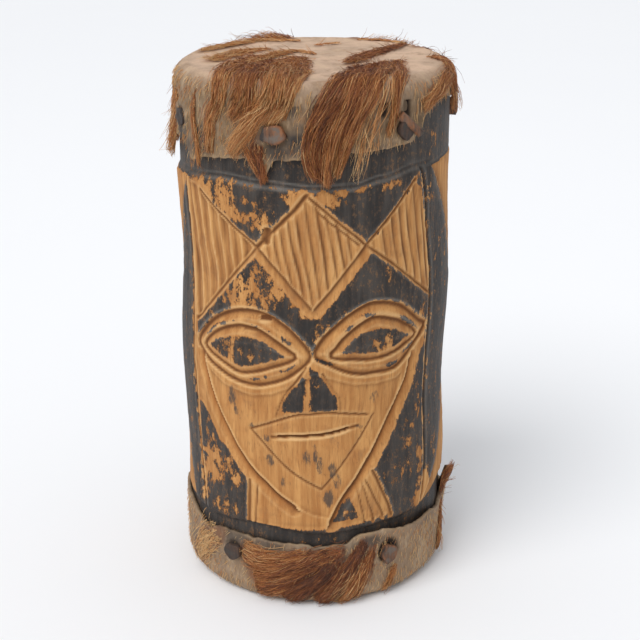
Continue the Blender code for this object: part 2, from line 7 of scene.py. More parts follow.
import bmesh
import bpy
import numpy as np
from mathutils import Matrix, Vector


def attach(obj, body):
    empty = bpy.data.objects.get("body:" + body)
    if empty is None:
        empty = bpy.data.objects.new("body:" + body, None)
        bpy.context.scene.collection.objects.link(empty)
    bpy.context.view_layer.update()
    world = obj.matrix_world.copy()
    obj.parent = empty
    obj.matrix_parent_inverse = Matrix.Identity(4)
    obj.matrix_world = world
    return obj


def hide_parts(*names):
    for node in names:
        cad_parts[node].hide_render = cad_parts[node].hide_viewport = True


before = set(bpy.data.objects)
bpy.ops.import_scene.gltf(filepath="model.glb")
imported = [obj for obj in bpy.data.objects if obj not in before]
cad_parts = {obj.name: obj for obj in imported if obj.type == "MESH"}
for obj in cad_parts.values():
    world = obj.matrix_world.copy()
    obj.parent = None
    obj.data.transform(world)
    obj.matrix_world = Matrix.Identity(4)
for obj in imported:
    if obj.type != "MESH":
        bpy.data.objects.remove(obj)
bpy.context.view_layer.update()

log = logging.getLogger("ritual_drum")

Point = tuple[float, float]
Line = tuple[Point, ...]
Colour = tuple[float, float, float]
Place = tuple[float, float, float]
# Middle, half width and half height
Oval = tuple[float, float, float, float]

# Millimetres of the drawing to metres of the scene
MM = 0.001
# The carving is drawn as (u, z): millimetres round the shell from a line just right of the nose, and height
DRAWN_RADIUS = 65.0
PANEL_MIDDLE = -5.0
DRAWN_TURN = 2.0 * math.pi * DRAWN_RADIUS
HALF_TURN = DRAWN_TURN / 2.0
FULL_HEIGHT = 254.0
# Millimetres past the edge of the bare wood where no cut or bare field is near: below 0 is painted
PAINTED = -8.0

# Lines that run all the way round the drum, shared by the wood and the hides
UPPER_LEDGE: Line = ((-102, 203), (-67, 205), (-42, 207), (-23, 206), (0, 204.5), (18, 205), (31, 207.5),
                     (50, 210.5), (97, 212), (150, 208), (200, 202), (250, 201))
LOWER_LEDGE: Line = ((-90, 41), (-60, 40), (-26, 42.4), (2, 40), (40, 42), (58, 42.4), (85, 50), (120, 44),
                     (180, 40), (240, 42))
TOP_HEM: Line = ((-95, 222), (-72, 221), (-62, 215), (-52, 218), (-32, 220), (-23, 211), (-17, 220), (0, 222),
                 (22, 224), (45, 225), (51, 229), (56, 236), (66, 241), (82, 241), (110, 235), (150, 227),
                 (190, 224), (225, 226), (270, 221))
BOTTOM_HEM: Line = ((-85, 37.5), (-60, 30), (-50, 33.5), (-25, 34), (0, 33), (14, 33), (22, 37.5), (34, 38),
                    (45, 36.5), (68, 35.5), (82, 31), (90, 35), (95, 44), (100, 45), (105, 34), (140, 30),
                    (180, 33), (220, 29), (270, 36))


def eased(share: np.ndarray) -> np.ndarray:
    """Return shares that start and stop gently, held between 0 and 1."""
    held = np.clip(share, 0.0, 1.0)
    return held * held * (3.0 - 2.0 * held)


def bump(value: np.ndarray, middle: float, width: float) -> np.ndarray:
    """Return a soft bump, 1 at its middle and 0 past its width."""
    return eased(1.0 - np.abs(value - middle) / width)


def round_line(knots: Line, u: np.ndarray) -> np.ndarray:
    """Return the heights of a line that runs round the drum.

    Args:
        knots: The line's points, in order round the drum.
        u: Columns of the drawing.

    Returns:
        The line's height at each column, eased from knot to knot.
    """
    start = knots[0][0]
    columns = (u - start) % DRAWN_TURN + start
    places = np.array([knot[0] for knot in knots] + [start + DRAWN_TURN])
    heights = np.array([knot[1] for knot in knots] + [knots[0][1]])
    index = np.clip(np.searchsorted(places, columns, side="right") - 1, 0, len(places) - 2)
    share = (columns - places[index]) / (places[index + 1] - places[index])
    return heights[index] + (heights[index + 1] - heights[index]) * eased(share)


def smooth_path(points: Line, closed: bool = False, step: float = 2.5) -> np.ndarray:
    """Return a smooth curve through drawn points.

    Args:
        points: The knots.
        closed: Whether the curve runs back to its start.
        step: Distance between the curve's points, in millimetres.

    Returns:
        The curve's points, one row each.
    """
    knots = [np.array(point, dtype=float) for point in points]
    count = len(knots)
    path = []
    for index in range(count if closed else count - 1):
        picks = [(index + shift) % count if closed else min(max(index + shift, 0), count - 1)
                 for shift in (-1, 0, 1, 2)]
        before, here, there, after = (knots[pick] for pick in picks)
        pieces = max(1, round(float(np.linalg.norm(there - here)) / step))
        slope_here = (there - before) * 0.5
        slope_there = (after - here) * 0.5
        rise = there - here
        for piece in range(pieces):
            share = piece / pieces
            path.append(here + slope_here * share
                        + (rise * 3.0 - slope_here * 2.0 - slope_there) * share ** 2
                        + (slope_here + slope_there - rise * 2.0) * share ** 3)
    if not closed:
        path.append(knots[-1])
    return np.array(path)


def value_noise(x: np.ndarray, y: np.ndarray, seed: int) -> np.ndarray:
    """Return smooth lattice noise.

    Args:
        x: First coordinate; the lattice has a step of 1.
        y: Second coordinate.
        seed: Picks the pattern.

    Returns:
        Values from 0 to 1.
    """
    left = np.floor(x).astype(np.int64)
    low = np.floor(y).astype(np.int64)
    across = eased(x - left)
    up = eased(y - low)

    def corner(column: np.ndarray, row: np.ndarray) -> np.ndarray:
        """Return the lattice's own value at a corner.

        Args:
            column: The corner's column.
            row: Its row.

        Returns:
            Values from 0 to 1, scrambled from the whole numbers.
        """
        mixed = (column * 374761393 + row * 668265263 + seed * 974634777) & 0xFFFFFFFF
        mixed = ((mixed ^ (mixed >> 13)) * 1274126177) & 0xFFFFFFFF
        return ((mixed ^ (mixed >> 16)) & 0xFFFF) / 65535.0

    foot = corner(left, low) * (1.0 - across) + corner(left + 1, low) * across
    head = corner(left, low + 1) * (1.0 - across) + corner(left + 1, low + 1) * across
    return foot * (1.0 - up) + head * up


def layered_noise(x: np.ndarray, y: np.ndarray, seed: int) -> np.ndarray:
    """Return value noise of three layers, each half the size and weight of the one before.

    Args:
        x: First coordinate.
        y: Second coordinate.
        seed: Picks the pattern.

    Returns:
        Values from 0 to 1.
    """
    weights = (1.0, 0.5, 0.25)
    layers = [value_noise(x / weight, y / weight, seed + layer) * weight
              for layer, weight in enumerate(weights)]
    return sum(layers) / sum(weights)


def nearest_on_path(u: np.ndarray, z: np.ndarray, path: np.ndarray,
                    closed: bool) -> tuple[np.ndarray, np.ndarray, np.ndarray]:
    """Return how points lie beside a path.

    Args:
        u: First coordinates of the points.
        z: Second coordinates of the points.
        path: The path's points.
        closed: Whether the path runs back to its start.

    Returns:
        The distance to the path, whether the point is left of it, and the distance along it.
    """
    best = np.full(u.shape, 1e9)
    left = np.zeros(u.shape, dtype=bool)
    along = np.zeros(u.shape)
    travelled = 0.0
    ends = np.vstack([path[1:], path[:1]]) if closed else path[1:]
    for start, end in zip(path, ends):
        run = end - start
        length = float(np.hypot(*run))
        if length < 1e-6:
            continue
        to_u = u - start[0]
        to_z = z - start[1]
        share = np.clip((to_u * run[0] + to_z * run[1]) / length ** 2, 0.0, 1.0)
        away = np.hypot(to_u - run[0] * share, to_z - run[1] * share)
        closer = away < best
        best = np.where(closer, away, best)
        left = np.where(closer, run[0] * to_z - run[1] * to_u > 0.0, left)
        along = np.where(closer, travelled + share * length, along)
        travelled += length
    return best, left, along


def inside(u: np.ndarray, z: np.ndarray, outline: np.ndarray) -> np.ndarray:
    """Return which points lie inside a closed outline.

    Args:
        u: First coordinates of the points.
        z: Second coordinates of the points.
        outline: The outline's corners, in order.

    Returns:
        True for each point inside.
    """
    held = np.zeros(u.shape, dtype=bool)
    for (u0, z0), (u1, z1) in zip(outline, np.vstack([outline[1:], outline[:1]])):
        if z0 != z1:
            held ^= ((z0 > z) != (z1 > z)) & (u < (u1 - u0) * (z - z0) / (z1 - z0) + u0)
    return held


def field_depth(u: np.ndarray, z: np.ndarray, outline: np.ndarray) -> np.ndarray:
    """Return how far inside an outline points lie, in millimetres, and less than 0 outside it."""
    away, _, _ = nearest_on_path(u, z, outline, True)
    return np.where(inside(u, z, outline), away, -away)


def oval_reach(u: np.ndarray, z: np.ndarray, oval: Oval) -> np.ndarray:
    """Return how far places are from an oval's middle: 0 there and 1 on its outline."""
    return np.hypot((u - oval[0]) / oval[2], (z - oval[1]) / oval[3])


class Section(Enum):
    """Section of a knife cut."""

    VEE = "vee"
    ROUND = "round"

    def depth(self, share: np.ndarray) -> np.ndarray:
        """Return the depth of the cut at shares of the way from its edge to its middle."""
        return np.sqrt(share * (2.0 - share)) if self is Section.ROUND else share


@dataclass
class Relief:
    """The carved surface being worked: millimetres over the flattened shell."""

    u: np.ndarray
    z: np.ndarray
    depth: np.ndarray
    bare: np.ndarray
    wear: np.ndarray
    # Painted shade and some dirt along the cuts: how dark their floors and lines are painted
    hollow: np.ndarray

    @classmethod
    def blank(cls, u: np.ndarray, z: np.ndarray) -> "Relief":
        """Return an uncut, wholly painted surface."""
        still = np.zeros(u.shape)
        return cls(u, z, still.copy(), np.full(u.shape, PAINTED), still.copy(), still.copy())

    def near(self, points: np.ndarray, margin: float) -> np.ndarray:
        """Return the indices of the places within a margin of some points' box."""
        low, high = points.min(axis=0) - margin, points.max(axis=0) + margin
        return np.flatnonzero((self.u > low[0]) & (self.u < high[0]) & (self.z > low[1]) & (self.z < high[1]))

    def raise_to(self, label: str, values: np.ndarray, spots: object = slice(None)) -> None:
        """Raise one of the surface's numbers to at least some values, at some or all places."""
        held = getattr(self, label)
        held[spots] = np.maximum(held[spots], values)


@dataclass(frozen=True)
class Cut:
    """A knife cut along a drawn line, `left` and `right` of the way it is drawn."""

    line: Line
    left: float
    right: float
    depth: float
    bare: float = 0.0
    closed: bool = False
    straight: bool = False
    section: Section = Section.VEE

    def carve(self, relief: Relief) -> None:
        """Cut the line into the surface.

        Args:
            relief: The surface, which is changed.
        """
        path = smooth_path(self.line, self.closed, 400.0 if self.straight else 2.5)
        spots = relief.near(path, max(self.left, self.right) + 6.0)
        u, z = relief.u[spots], relief.z[spots]
        wobble = 0.35 * (value_noise(u / 6.0, z / 6.0, 11) - 0.5)
        away, is_left, _ = nearest_on_path(u + wobble, z + wobble, path, self.closed)
        if self.closed:
            is_left = inside(u, z, path)
        width = np.where(is_left, self.left, self.right)
        share = self.section.depth(np.clip(1.0 - away / width, 0.0, 1.0))
        relief.raise_to("depth", self.depth * share, spots)
        relief.raise_to("bare", width + self.bare - away, spots)
        # A painted dark line, shade and some dirt, along the cut's floor
        relief.raise_to("hollow", bump(away, 0.0, 1.3) * min(1.0, self.depth), spots)


@dataclass(frozen=True)
class Field:
    """A drawn area that is scraped bare or left painted, `lower` millimetres below the rest."""

    outline: Line
    bare: bool
    lower: float = 0.0
    slope: float = 1.0
    smooth: bool = False

    def carve(self, relief: Relief) -> None:
        """Scrape or paint the area.

        Args:
            relief: The surface, which is changed.
        """
        outline = smooth_path(self.outline, True) if self.smooth else np.array(self.outline, dtype=float)
        spots = relief.near(outline, 8.0)
        within = field_depth(relief.u[spots], relief.z[spots], outline)
        relief.raise_to("depth", self.lower * eased(within / self.slope), spots)
        if self.bare:
            relief.raise_to("bare", within, spots)
        else:
            relief.bare[spots] = np.minimum(relief.bare[spots], -within)


@dataclass(frozen=True)
class Flutes:
    """Upright grooves inside a drawn area, as (u at the middle, lean over 10 mm) pairs."""

    area: Line
    middle: float
    lines: Line
    left: float
    right: float
    depth: float
    section: Section

    def carve(self, relief: Relief) -> None:
        """Cut the grooves, which fade out at the area's edge.

        Args:
            relief: The surface, which is changed.
        """
        outline = np.array(self.area, dtype=float)
        spots = relief.near(outline, 3.0)
        u, z = relief.u[spots], relief.z[spots]
        within = field_depth(u, z, outline)
        carved = np.zeros(u.shape)
        crease = np.zeros(u.shape)
        for rank, (place, lean) in enumerate(self.lines):
            sway = 1.2 * (value_noise(z / 15.0, z * 0.0 + rank, 23) - 0.5)
            away = u - (place - lean * (z - self.middle) / 10.0 + sway)
            width = np.where(away < 0.0, self.left, self.right)
            share = self.section.depth(np.clip(1.0 - np.abs(away) / width, 0.0, 1.0))
            deep = 0.55 + 0.9 * value_noise(z / 11.0 + 3.0, z * 0.0 + rank * 1.7, 29)
            carved = np.maximum(carved, share * deep)
            crease = np.maximum(crease, bump(away, 0.0, 0.9) * deep)
        fade = eased((within + 0.4) / 2.2)
        relief.raise_to("depth", self.depth * carved * fade, spots)
        # A painted dark line, shade and some dirt, down each flute's floor
        relief.raise_to("hollow", crease * fade * 0.8, spots)
        # The crests keep a little of the first paint
        relief.raise_to("bare", np.where(within > 0.5, 0.15 + 1.6 * carved, PAINTED), spots)


@dataclass(frozen=True)
class Wear:
    """A spot where the paint is rubbed thin, as an oval of the drawing."""

    oval: Oval
    strength: float

    def carve(self, relief: Relief) -> None:
        """Add the spot to the surface's wear."""
        relief.wear += self.strength * eased(1.35 - oval_reach(relief.u, relief.z, self.oval))


# The mask face and the band above it, read from the photograph, as (u, z)
LEFT_CROSS: Point = (-26.5, 180.0)
RIGHT_CROSS: Point = (23.5, 181.0)
LEFT_DIAMOND: Line = ((-69, 204), (-61, 204), (-56.5, 200), LEFT_CROSS, (-62, 141), (-66, 138), (-68, 150))
MIDDLE_DIAMOND: Line = (LEFT_CROSS, (-8, 198.5), (-3, 205), (1, 201.5), RIGHT_CROSS, (-2, 152))
RIGHT_DIAMOND: Line = (RIGHT_CROSS, (51, 207), (55, 203), (60.3, 180), (60.3, 152))
LEFT_LIDS: Line = ((-65, 127), (-60, 134), (-50, 143), (-40, 148), (-30, 149.5), (-20, 147.5), (-10, 140),
                   (-1.5, 129.5), (-10, 120), (-20, 115.2), (-30, 113), (-45, 115.4), (-60, 121.4))
LEFT_RIM: Line = ((-59, 127), (-50, 136), (-40, 140.5), (-33, 141.5), (-25, 140), (-15, 134), (-8.5, 128.5),
                  (-20, 122.8), (-30, 119.2), (-38, 118.5), (-50, 122))
LEFT_PUPIL: Line = ((-54, 128), (-48, 132.5), (-35, 136.5), (-25, 135.4), (-15, 131.5), (-13, 129.5),
                    (-20, 124.5), (-32, 120.8), (-45, 123))
RIGHT_LIDS: Line = ((0.5, 129.5), (3, 137), (8, 143), (15, 149), (25, 153.3), (35, 152.8), (45, 148),
                    (55, 140), (59.5, 135.5), (50, 126.5), (41, 119.5), (30, 119), (20, 120), (10, 123.8))
RIGHT_RIM: Line = ((7.5, 129.2), (10, 134), (15, 140), (25, 146), (33, 146), (43, 142), (53.5, 134),
                   (47, 130.5), (40, 127.6), (30, 126), (20, 127.2))
RIGHT_PUPIL: Line = ((10, 130), (15, 135.5), (22, 140), (30, 141), (38, 139), (47.5, 134.5), (42, 130),
                     (30, 127.4), (20, 128.5))
CHEEK_LEFT: Line = ((-52, 100), (-46, 89), (-38, 77), (-30, 68.5), (-20, 60))
CHEEK_RIGHT: Line = ((43, 104), (36, 93), (28, 80), (20, 68), (12, 57), (7, 46))
FACE_AREA: Line = ((-70, 130), (-70, 97), (-66, 96), (-60, 94), (-55, 88), (-50, 80), (-44, 76), (-38, 70),
                   (-35, 65), (-33, 60), (-33, 41.5), (6, 41.5), (20, 43), (39, 45), (36, 53), (28, 70),
                   (32, 78), (36, 84), (41, 90), (46, 100), (50, 110), (54, 118), (59.5, 128), (59.5, 136),
                   (30, 135), (0, 129), (-30, 134))
FACE_FIELD: Line = ((-58, 118), *CHEEK_LEFT, (-9, 52), (-2, 48), *reversed(CHEEK_RIGHT), (47.5, 119.5),
                    (41, 115.5), (30, 115), (20, 116), (10, 119.5), (0, 122), (-10, 116), (-20, 111.4),
                    (-30, 109.3), (-45, 111.6))

PANEL_BORDERS: tuple[Cut, ...] = (
    Cut(((-62.5, 38), (-66, 60), (-68.5, 100), (-70, 150), (-71.5, 200), (-71.5, 207)), 2.3, 0.8, 1.25, -1.6),
    Cut(((48, 216), (54.5, 212), (58, 200), (60.8, 170), (61.8, 150), (61.8, 100), (61, 60), (58.5, 40)),
        2.1, 0.8, 1.25, -1.6),
)

FRONT_FIELDS: tuple[Field, ...] = (
    Field(FACE_AREA, True, 0.35, 2.5),
    Field(FACE_FIELD, True, 0.75, 2.2),
    Field(LEFT_LIDS, True, smooth=True),
    Field(RIGHT_LIDS, True, smooth=True),
    Field(LEFT_DIAMOND, True, 0.25, 2.0),
    Field(MIDDLE_DIAMOND, True, 0.2, 2.0),
    Field(RIGHT_DIAMOND, True, 0.2, 2.0),
    Field(((-72, 206), (-67.5, 206), (-66, 170), (-65.6, 140), (-65, 110), (-66, 78), (-66, 60), (-68, 60),
           (-71, 120)), True),
    Field(((56, 40), (53, 45), (58, 52), (63, 62), (68, 50), (66, 38)), True),
)

PAINTED_LEFT: tuple[Field, ...] = (
    Field(LEFT_PUPIL, False, smooth=True),
    Field(RIGHT_PUPIL, False, smooth=True),
    Field(((-6, 120), (-10.5, 117), (-13, 112), (-17, 101.4), (-4.6, 102), (-3.6, 118)), False),
    Field(((-1.6, 124), (1.5, 122), (5, 118), (9, 112), (11.8, 107), (11.8, 102.6), (-1.2, 102.3)), False),
)

# The band's crosses, the neck and the frames, then the face's curves, as line, left, right, depth and bare
FRONT_CUTS: tuple[Cut, ...] = tuple(Cut(*cut, straight=True) for cut in (
    (((-58.5, 201.5), LEFT_CROSS), 1.3, 1.5, 1.0, 0.3),
    (((-66, 138), (-62, 141), LEFT_CROSS), 1.5, 1.5, 0.9, 0.5),
    ((LEFT_CROSS, (-8, 198.5), (-3, 205)), 1.4, 2.2, 1.2, 0.3),
    (((-1.5, 204), RIGHT_CROSS), 1.0, 1.2, 0.9, 0.5),
    (((2, 197.5), (20, 181.5)), 0.9, 1.1, 0.8, 0.3),
    ((LEFT_CROSS, (-2.5, 153)), 1.3, 3.4, 0.9, 0.6),
    ((RIGHT_CROSS, (-1, 152.5)), 3.8, 1.2, 0.9, 0.6),
    ((RIGHT_CROSS, (51, 207.5)), 1.1, 1.2, 0.9, 0.1),
    ((RIGHT_CROSS, (60.5, 152)), 1.6, 1.2, 0.9, 0.2),
    (((-33.3, 64), (-33.3, 42)), 2.6, 0.8, 0.9),
    (((-29, 62), (-29.3, 41)), 0.5, 1.4, 0.8),
    (((-24, 58), (-24, 41)), 0.5, 1.5, 0.35),
    (((-18, 55), (-18.5, 41)), 0.5, 2.0, 0.3),
    (((28, 70), (39, 44.5)), 0.8, 2.6, 0.9),
    (((24, 66), (34, 45)), 0.6, 2.4, 0.8),
    (((21.5, 66), (29, 44)), 0.6, 2.0, 0.7),
    (((19, 64), (24, 44)), 0.6, 1.6, 0.7),
    (((-2.5, 119), (-2.3, 101.5)), 0.9, 0.9, 0.15),
)) + tuple(Cut(*cut) for cut in (
    (((-61, 121), (-58, 113), *CHEEK_LEFT, (-10.5, 53)), 1.0, 6.0, 2.1, 0.2),
    (((50, 122), (48, 113), *CHEEK_RIGHT), 5.6, 1.0, 2.1, 0.2),
    (((-3.5, 124), (-8, 117), (-13.5, 110), (-18, 99)), 1.2, 1.6, 1.0, 0.2),
    (((4, 121), (8, 115), (12.5, 108), (13, 101)), 1.2, 1.2, 0.9, 0.2),
    (((-31, 91), (-20, 96), (-10, 100), (0, 101.5), (10, 101.5), (20, 100), (26, 99)), 0.6, 2.8, 1.35),
    (((-17, 88.6), (-8, 89.4), (0, 90), (9, 91), (16, 92.6)), 1.6, 1.1, 2.9),
    (((-20.5, 88), (0, 90), (21, 93.6)), 3.0, 2.2, 1.3),
    (((-31, 91), (-20, 79.5), (-10, 70.5), (2.5, 63)), 0.8, 2.6, 1.3),
    (((29, 98.5), (20, 85), (10, 72), (2.5, 63)), 2.0, 0.8, 1.2),
    (((60.3, 186), (60.9, 150), (60.9, 100), (60, 46)), 0.55, 0.55, 0.0, 0.1),
    (((53, 210), (56.8, 200), (59.7, 186)), 0.4, 0.4, 0.0, -0.2),
))

EYE_CUTS: tuple[Cut, ...] = (
    Cut(LEFT_LIDS, 4.2, 1.5, 1.5, -0.2, closed=True),
    Cut(LEFT_RIM, 3.8, 1.5, 1.4, -0.3, closed=True),
    Cut(RIGHT_LIDS, 4.2, 1.5, 1.5, -0.2, closed=True),
    Cut(RIGHT_RIM, 3.8, 1.5, 1.4, -0.3, closed=True),
)

# Short gouges and old dents, as line, left, right and depth
GOUGES: tuple[Cut, ...] = tuple(Cut(*cut, straight=True, section=Section.ROUND) for cut in (
    (((-20.8, 187.6), (-22, 183.6)), 2.4, 2.4, 1.25),
    (((-25, 147.3), (-21.5, 147)), 1.2, 1.6, 1.9),
    (((-34, 141), (-28, 141)), 0.9, 1.2, 1.6),
    (((-35.4, 73.2), (-34.4, 72.8)), 0.9, 0.9, 1.0),
))

FRONT_FLUTES: tuple[Flutes, ...] = (
    Flutes(LEFT_DIAMOND, 178.0,
           ((-67, .9), (-61.3, 1.2), (-55.2, 1.1), (-49.3, .9), (-43.3, .7), (-37.6, .5), (-32.5, .3)),
           2.6, 3.6, 0.85, Section.ROUND),
    Flutes(MIDDLE_DIAMOND, 180.0,
           ((-21, 1.7), (-17.8, 1.6), (-14, 1.5), (-9.6, 1.4), (-5.4, 1.2), (-1, 1.1), (3.4, 1.1),
            (7.8, 1.2), (12.2, 1.4), (16.4, 1.6)),
           1.1, 3.4, 0.62, Section.VEE),
    Flutes(RIGHT_DIAMOND, 180.0,
           ((27.5, 1.2), (32.7, 1.4), (38.2, 1.3), (43, 1.2), (48, 1.2), (53, 1.2), (57.2, 1.0)),
           1.1, 3.8, 0.66, Section.VEE),
)

# Crumbs of paint left on the ridges between the cuts of the eyes, and smudges
PAINT_CRUMBS: tuple[Field, ...] = tuple(Field(outline, False) for outline in (
    ((15, 58), (20.5, 46.5), (8, 45)),
    ((-57.5, 132.3), (-53, 136.6), (-49.6, 139.6), (-50.3, 138), (-54, 134.4)),
    ((-48.5, 140), (-44.5, 141.8), (-44.6, 140.6), (-47.6, 139.4)),
    ((-41.5, 143.6), (-38.6, 143.4), (-38.8, 142.6), (-41, 142.8)),
    ((-30, 143.4), (-27, 143), (-27.6, 141.8), (-29.4, 142.4)),
    ((-23.4, 141.8), (-20.2, 141.5), (-20.8, 140.2), (-23, 140.8)),
    ((-15.6, 138.8), (-10.6, 136), (-11.6, 134.4), (-14.6, 136.8)),
    ((-31, 116.2), (-26, 117.4), (-25.6, 116.2), (-29, 114.8)),
    ((-23.8, 118.7), (-21.8, 118.8), (-22, 117.4), (-23.6, 117.6)),
    ((-15, 121.8), (-9, 125.4), (-8.4, 124.6), (-13.6, 121.2)),
    ((14, 143.8), (17.6, 145), (16.2, 142.6), (13.8, 142)),
    ((21, 148.8), (24.6, 149.6), (28, 148.6), (27.6, 147.2), (22.6, 147.2)),
    ((41.6, 146), (47, 142.6), (53.4, 137.4), (53.6, 135.9), (47.8, 140.2), (42, 143.6)),
    ((0, 128.8), (5, 127.2), (9.8, 126.2), (9.4, 125), (3, 126.4)),
    ((35, 122.6), (41, 123.4), (42.6, 122), (38.6, 120.4), (35.6, 121)),
    ((45, 127.6), (48.4, 129.4), (50.4, 130.6), (52, 129.8), (48, 126.8), (45, 125.8)),
))

# Where the paint is rubbed, as (u, z, half width, half height, strength)
FRONT_WEAR: tuple[Wear, ...] = tuple(Wear(spot[:4], spot[4]) for spot in (
    (-46, 201, 13, 7, 0.75), (-60, 204, 8, 4, 1.1), (-40, 194, 7, 4, 0.7), (-26, 192, 6, 6, 0.62),
    (-8, 204, 6, 5, 1.15), (1, 206, 7, 4, 1.15), (8, 203, 6, 5, 0.8), (14, 206, 3, 2, 0.8),
    (21, 207, 3, 2, 0.7), (34, 207, 4, 2.4, 0.8), (41, 207.5, 3, 2, 0.6), (-36, 156, 13, 10, 0.72),
    (-17, 163, 8, 8, 0.66), (-6, 152, 8, 5, 0.75), (3, 143, 5, 8, 0.55), (-24, 170, 6, 6, 0.45),
    (35, 168, 2.5, 8, 0.4), (-42, 127, 8, 8, 0.42), (-41, 121.5, 3, 5, 0.7), (-39, 135, 3, 3, 0.6),
    (34, 133, 6, 6, 0.62), (30, 128, 6, 3, 0.5), (-53, 67, 14, 9, 0.66), (-60, 60, 9, 7, 0.66),
    (-40, 61, 4, 4, 0.7), (-48, 46, 14, 5, 0.42), (-62, 70.5, 9, 1.6, 0.8), (-66, 50, 4, 12, 0.6),
    (-56, 90, 4, 4, 0.45), (57, 96, 2.5, 8, 0.6), (52, 86.5, 2.2, 2.2, 0.85), (57, 71, 3, 4, 0.7),
    (44, 66, 14, 6, 0.33), (60, 46, 9, 6, 0.9), (57, 60, 3, 9, 0.5), (0, 110, 2, 8, 0.4),
    (-12, 104, 5, 3, 0.4), (16, 49, 5, 4, 0.35), (-30, 165, 5, 5, 0.5), (40, 112, 3, 3, 0.3),
    (56, 140, 4, 10, 0.35), (-67, 145, 4, 8, 0.5), (62, 200, 4, 5, 0.35), (-20, 195, 4, 9, 0.45),
    (-29, 198, 6, 6, 0.42), (-36, 191, 5, 4, 0.42), (-20, 156, 8, 6, 0.35), (-30, 128, 8, 6, 0.34),
    (26, 135, 6, 5, 0.30), (46, 80, 8, 5, 0.30), (-58, 78, 5, 6, 0.34), (-4, 94, 7, 5, 0.30),
))

# Where the knife rubbed old paint into the bare wood of the cheeks, as an oval and an amount
SMUDGES: tuple[tuple[Oval, float], ...] = tuple((spot[:4], spot[4]) for spot in (
    (-41, 105, 2.4, 5, 0.8), (-39, 98, 1.6, 2.4, 0.7), (30, 107, 2.6, 3.2, 0.45), (22, 93, 1.8, 1.4, 0.9),
    (-23, 87, 2, 2, 0.7), (-22, 76, 2.4, 3.2, 0.75), (-4, 79, 2.2, 5, 0.6), (0, 80, 1.4, 5.4, 0.8),
    (2, 75, 1.6, 4, 0.8), (8, 72, 2, 4.6, 0.8), (10, 66, 2.6, 4, 0.6), (6, 58, 2.6, 5, 0.8),
    (-30, 100, 5, 6, 0.2), (-15, 66, 4, 3, 0.4), (-31, 92.4, 2, 1.4, 0.6), (-36, 96, 2, 2, 0.4),
    (10, 86, 4, 5, 0.2),
))


@dataclass(frozen=True)
class WoodPaint:
    """Black paint worn off carved wood."""

    paint: Colour = (0.026, 0.022, 0.020)
    paint_worn: Colour = (0.066, 0.055, 0.047)
    paint_thin: Colour = (0.125, 0.062, 0.028)
    # Black of the paint in the cuts: painted shade
    paint_shade: Colour = (0.012, 0.010, 0.009)
    # Grey of worn paint laid on ridges and on the bevel above the panel: a painted highlight, partly worn
    # paint
    edge: Colour = (0.185, 0.168, 0.150)
    wood_light: Colour = (0.62, 0.315, 0.108)
    wood_dark: Colour = (0.40, 0.170, 0.050)
    orange: Colour = (0.44, 0.155, 0.034)
    # Pale wood laid on ridges: a painted highlight, partly rubbed wood
    rubbed: Colour = (0.84, 0.54, 0.25)
    # Dark brown of the wood in the cuts: painted shade and some dirt
    groove_dirt_and_shade: Colour = (0.105, 0.035, 0.010)
    dirt: Colour = (0.15, 0.062, 0.021)
    soil: Colour = (0.22, 0.125, 0.062)
    flecks: Colour = (0.13, 0.075, 0.04)
    smudge: Colour = (0.066, 0.055, 0.047)
    specks: Colour = (0.205, 0.105, 0.045)
    paint_roughness: float = 0.52
    wood_roughness: float = 0.72


@dataclass(frozen=True)
class Hide:
    """Dried goat hide with stubble and stains."""

    face: Colour = (0.60, 0.410, 0.285)
    # Olive brown of the skirt, darker than the hide's own colour: partly painted shade of the sides
    skirt: Colour = (0.225, 0.145, 0.076)
    pale: Colour = (0.60, 0.44, 0.28)
    grey: Colour = (0.30, 0.215, 0.155)
    olive: Colour = (0.205, 0.128, 0.068)
    amber: Colour = (0.46, 0.24, 0.10)
    stubble: Colour = (0.10, 0.060, 0.030)
    speck: Colour = (0.10, 0.06, 0.035)
    hem: Colour = (0.34, 0.225, 0.125)
    stain: Colour = (0.040, 0.036, 0.035)
    fur: Colour = (0.190, 0.078, 0.034)
    # Near black inside the slits: painted shade of the openings
    slit: Colour = (0.020, 0.010, 0.006)
    roughness: float = 0.78


@dataclass(frozen=True)
class Hair:
    """Goat hair from nearly black brown to straw."""

    deep: Colour = (0.090, 0.028, 0.011)
    rust: Colour = (0.320, 0.098, 0.028)
    ginger: Colour = (0.580, 0.235, 0.065)
    straw: Colour = (0.760, 0.490, 0.225)
    roughness: float = 0.50


@dataclass(frozen=True)
class PegFinish:
    """Weathered end grain of a whittled peg."""

    rim: Colour = (0.270, 0.105, 0.040)
    heart: Colour = (0.145, 0.115, 0.092)
    dark: Colour = (0.030, 0.024, 0.021)
    roughness: float = 0.68


@dataclass(frozen=True)
class FloorFinish:
    """The nearly even white of the studio floor."""

    dark: Colour = (0.90, 0.90, 0.91)
    light: Colour = (0.915, 0.915, 0.92)
    roughness: float = 0.85


